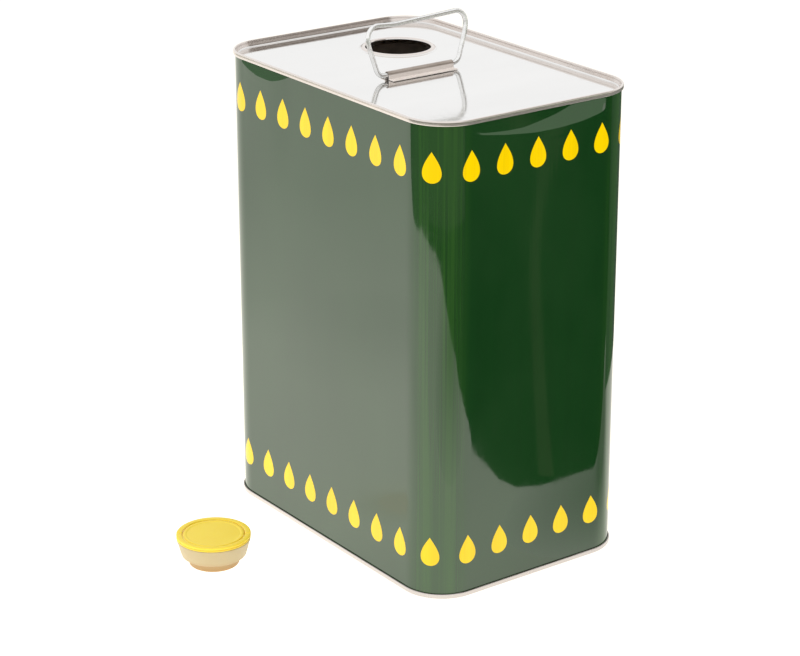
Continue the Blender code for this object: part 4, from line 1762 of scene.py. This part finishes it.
@dataclass(frozen=True)
class Studio:
    """A white table in bright, even light, with the dark room beyond its edge as flags that only
    glossy surfaces see, and the camera."""

    tin: Outline
    sky: float = 1.0
    floor_half: float = 6.0
    room_reach: float = 4.0
    near_from_x: float = 240 * MM
    glint_way: float = math.radians(37.5)
    glint_start: Point2 = (0.115, 0.0195)
    glint_reach: Point2 = (0.13, 1.2)
    azimuth: float = math.radians(53.83)
    elevation: float = math.radians(20.76)
    camera_offset: Point3 = (1.2029, -0.8976, 0.6988)
    lens: float = 111.8
    lamp_place: Point3 = (-0.3, -1.5, 2.0)
    lamp_aim: Point3 = (0, 0, 0.15)
    lamp_power: float = 11.5
    lamp_size: float = 1.6

    def origin(self) -> Vector:
        """The floor point under the tin's middle."""
        return Vector((self.tin.centre.x, self.tin.centre.y, 0.0))

    def glow(self, name: str, colour: Colour) -> tuple[bpy.types.Material, Shader, bpy.types.Node]:
        """A material that only shines, with its tree and its Principled node."""
        material, shader, surface = new_material(name)
        surface.inputs["Base Color"].default_value = (0, 0, 0, 1)
        surface.inputs["Specular IOR Level"].default_value = 0.0
        surface.inputs["Emission Color"].default_value = (*colour, 1.0)
        surface.inputs["Emission Strength"].default_value = 1.0
        return material, shader, surface

    def sheet(self, name: str, points: Sequence[Vector], material: bpy.types.Material) -> bpy.types.Object:
        """One flat face in the scene, as part of the stage."""
        mesh = bpy.data.meshes.new(name)
        mesh.from_pydata([tuple(point) for point in points], [], [tuple(range(len(points)))])
        mesh.materials.append(material)
        card = add_object(name, mesh)
        return card

    def floor(self) -> None:
        """The pale floor, just under the tin."""
        half = self.floor_half
        corners = [Vector((x, y, 0)) for x, y in ((-half, -half), (half, -half), (half, half), (-half, half))]
        floor = self.sheet("floor", corners, FloorFinish().material())
        floor.location = self.origin() - Vector((0, 0, 0.05 * MM))

    def shade(self, pool: ShadePool) -> None:
        """Lay one shade pool just over the floor."""
        material, shader, surface = self.glow(pool.name, (1.0, 0.965, 0.90))
        away = shader.vector("SUBTRACT", shader.place(), self.origin() + Vector((*pool.centre, 0.0)))
        turned = shader.add("ShaderNodeVectorRotate", rotation_type="Z_AXIS", Angle=-math.radians(pool.turn))
        shader.join(away, turned.inputs["Vector"])
        sized = shader.vector("DIVIDE", turned.outputs[0], (pool.along, pool.across, 1.0))
        share = shader.vector("LENGTH", shader.vector("MULTIPLY", sized, (1.0, 1.0, 0.0)))
        glow = shader.spread(share, pool.core, 1.0, pool.dark, pool.rim)
        shader.join(glow, surface.inputs["Emission Strength"])
        spin = Matrix.Rotation(math.radians(pool.turn), 2)
        rim = [spin @ Vector((pool.along * x, pool.across * y)) for x, y in arc((0.0, 0.0), 1.0, 0, 354, 59)]
        points = [(pool.centre[0] + x, pool.centre[1] + y, 0.25 * MM) for x, y in rim]
        self.flag(pool.name, points, material)

    def flag(self, name: str, points: Sequence[Point3], material: bpy.types.Material) -> None:
        """A flat card that only reflections see.

        Args:
            name: The card's name.
            points: Its corners, from the floor point under the tin.
            material: What it shines with.
        """
        card = self.sheet(name, [self.origin() + Vector(point) for point in points], material)
        for kind in ("camera", "diffuse", "shadow", "transmission"):
            setattr(card, f"visible_{kind}", False)

    def room(self) -> None:
        """The room beyond the table's rounded edge, as the tin's gloss sees it."""
        def ring(start: float, end: float, radius: float) -> list[Point2]:
            """Points around the tin at a radius, between two directions in degrees."""
            return arc((0.0, 0.0), radius, start, end, 24)

        def low(name: str, points: Sequence[Point2], colour: Colour, height: float) -> None:
            """A card lying just over the floor."""
            self.flag(name, [(x, y, height) for x, y in points], self.glow(name, colour)[0])

        far = self.room_reach
        front = [(x * MM, y * MM) for x, y in TABLE_FRONT]
        side = [(x * MM, y * MM) for x, y in TABLE_SIDE]
        front_near = [point for point in front if point[0] > self.near_from_x]
        cards = (
            ("front_room", front + ring(14, -126, far), (0.13, 0.15, 0.11), 0.5 * MM),
            ("front_near", front_near + ring(13, -70, 0.84), (0.022, 0.028, 0.02), 1.0 * MM),
            ("side_room", side + ring(58, 12, 1.35), (0.004, 0.006, 0.005), 1.5 * MM),
            ("far_side_room", ring(58, 125, 0.37) + ring(125, 58, far), (0.10, 0.115, 0.105), 0.5 * MM),
            ("far_floor", ring(12, 46, 1.35) + ring(46, 12, far), (0.62, 0.76, 0.56), 1.0 * MM),
            ("left_room", ring(-168, -126, 1.32) + ring(-126, -168, far), (0.34, 0.40, 0.31), 0.5 * MM),
        )
        for card in cards:
            low(*card)
        for pool in SHADE_POOLS:
            self.shade(pool)
        slant = Vector((math.cos(self.glint_way), math.sin(self.glint_way)))
        across = Vector((-slant.y, slant.x))
        near, far_end = (Vector(self.glint_start) + slant * reach for reach in self.glint_reach)
        for name, half, colour in GLINTS:
            beside, far_beside = across * half, across * 1.7 * half
            strip = [near - beside, far_end - far_beside, far_end + far_beside, near + beside]
            low(name, strip, colour, 2.0 * MM + half / 10)
        middle, wide = math.radians(36), math.radians(26)
        foot, head, reach = 0.30, 1.45, 1.3
        ends = [(reach * math.cos(a), reach * math.sin(a)) for a in (middle - wide, middle + wide)]
        wall = [(*ends[0], foot), (*ends[1], foot), (*ends[1], head), (*ends[0], head)]
        self.flag("high_room", wall, self.glow("high_room", (0.17, 0.145, 0.12))[0])

    def light(self) -> None:
        """Even white surroundings and one wide soft light from the upper left."""
        world = bpy.data.worlds.new("white_room")
        world.use_nodes = True
        background = world.node_tree.nodes["Background"]
        background.inputs["Color"].default_value = (1, 1, 1, 1)
        background.inputs["Strength"].default_value = self.sky
        bpy.context.scene.world = world
        lamp = bpy.data.lights.new("soft_box", "AREA")
        lamp.shape, lamp.size, lamp.energy = "DISK", self.lamp_size, self.lamp_power
        soft_box = add_object("soft_box", lamp)
        soft_box.location = self.origin() + Vector(self.lamp_place)
        aim = self.origin() + Vector(self.lamp_aim) - soft_box.location
        soft_box.rotation_euler = aim.to_track_quat("-Z", "Y").to_euler()
        soft_box.visible_glossy = False

    def camera(self) -> None:
        """A long lens on the corner between the two visible faces."""
        data = bpy.data.cameras.new("camera")
        data.lens, data.sensor_width = self.lens, 36.0
        camera = add_object("camera", data)
        camera.location = self.origin() + Vector(self.camera_offset)
        camera.rotation_euler = (math.pi / 2 - self.elevation, 0, self.azimuth)
        bpy.context.scene.camera = camera

    def build(self) -> None:
        """Set the whole stage."""
        self.floor()
        self.room()
        self.light()
        self.camera()
        bpy.context.scene.view_settings.view_transform = "Standard"


# ---- assembly ------------------------------------------------------------------------------------------


def joint_place(name: str) -> Vector:
    """Where a joint's axis passes."""
    return Vector(next(joint["pos_m"] for joint in frame["joints"] if joint["name"] == name))


def main() -> None:
    """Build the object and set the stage."""
    logging.basicConfig(level=logging.INFO, format="%(message)s")
    sizes = TinSizes()
    finishes = Finishes(sizes)
    Tin(sizes, finishes).build()
    hinge = joint_place("handle_swing")
    Saddle(finishes, hinge).build()
    WireBail(finishes, hinge).build()
    Closure(finishes).build()
    Studio(sizes.outline()).build()


if __name__ == "__main__":
    main()
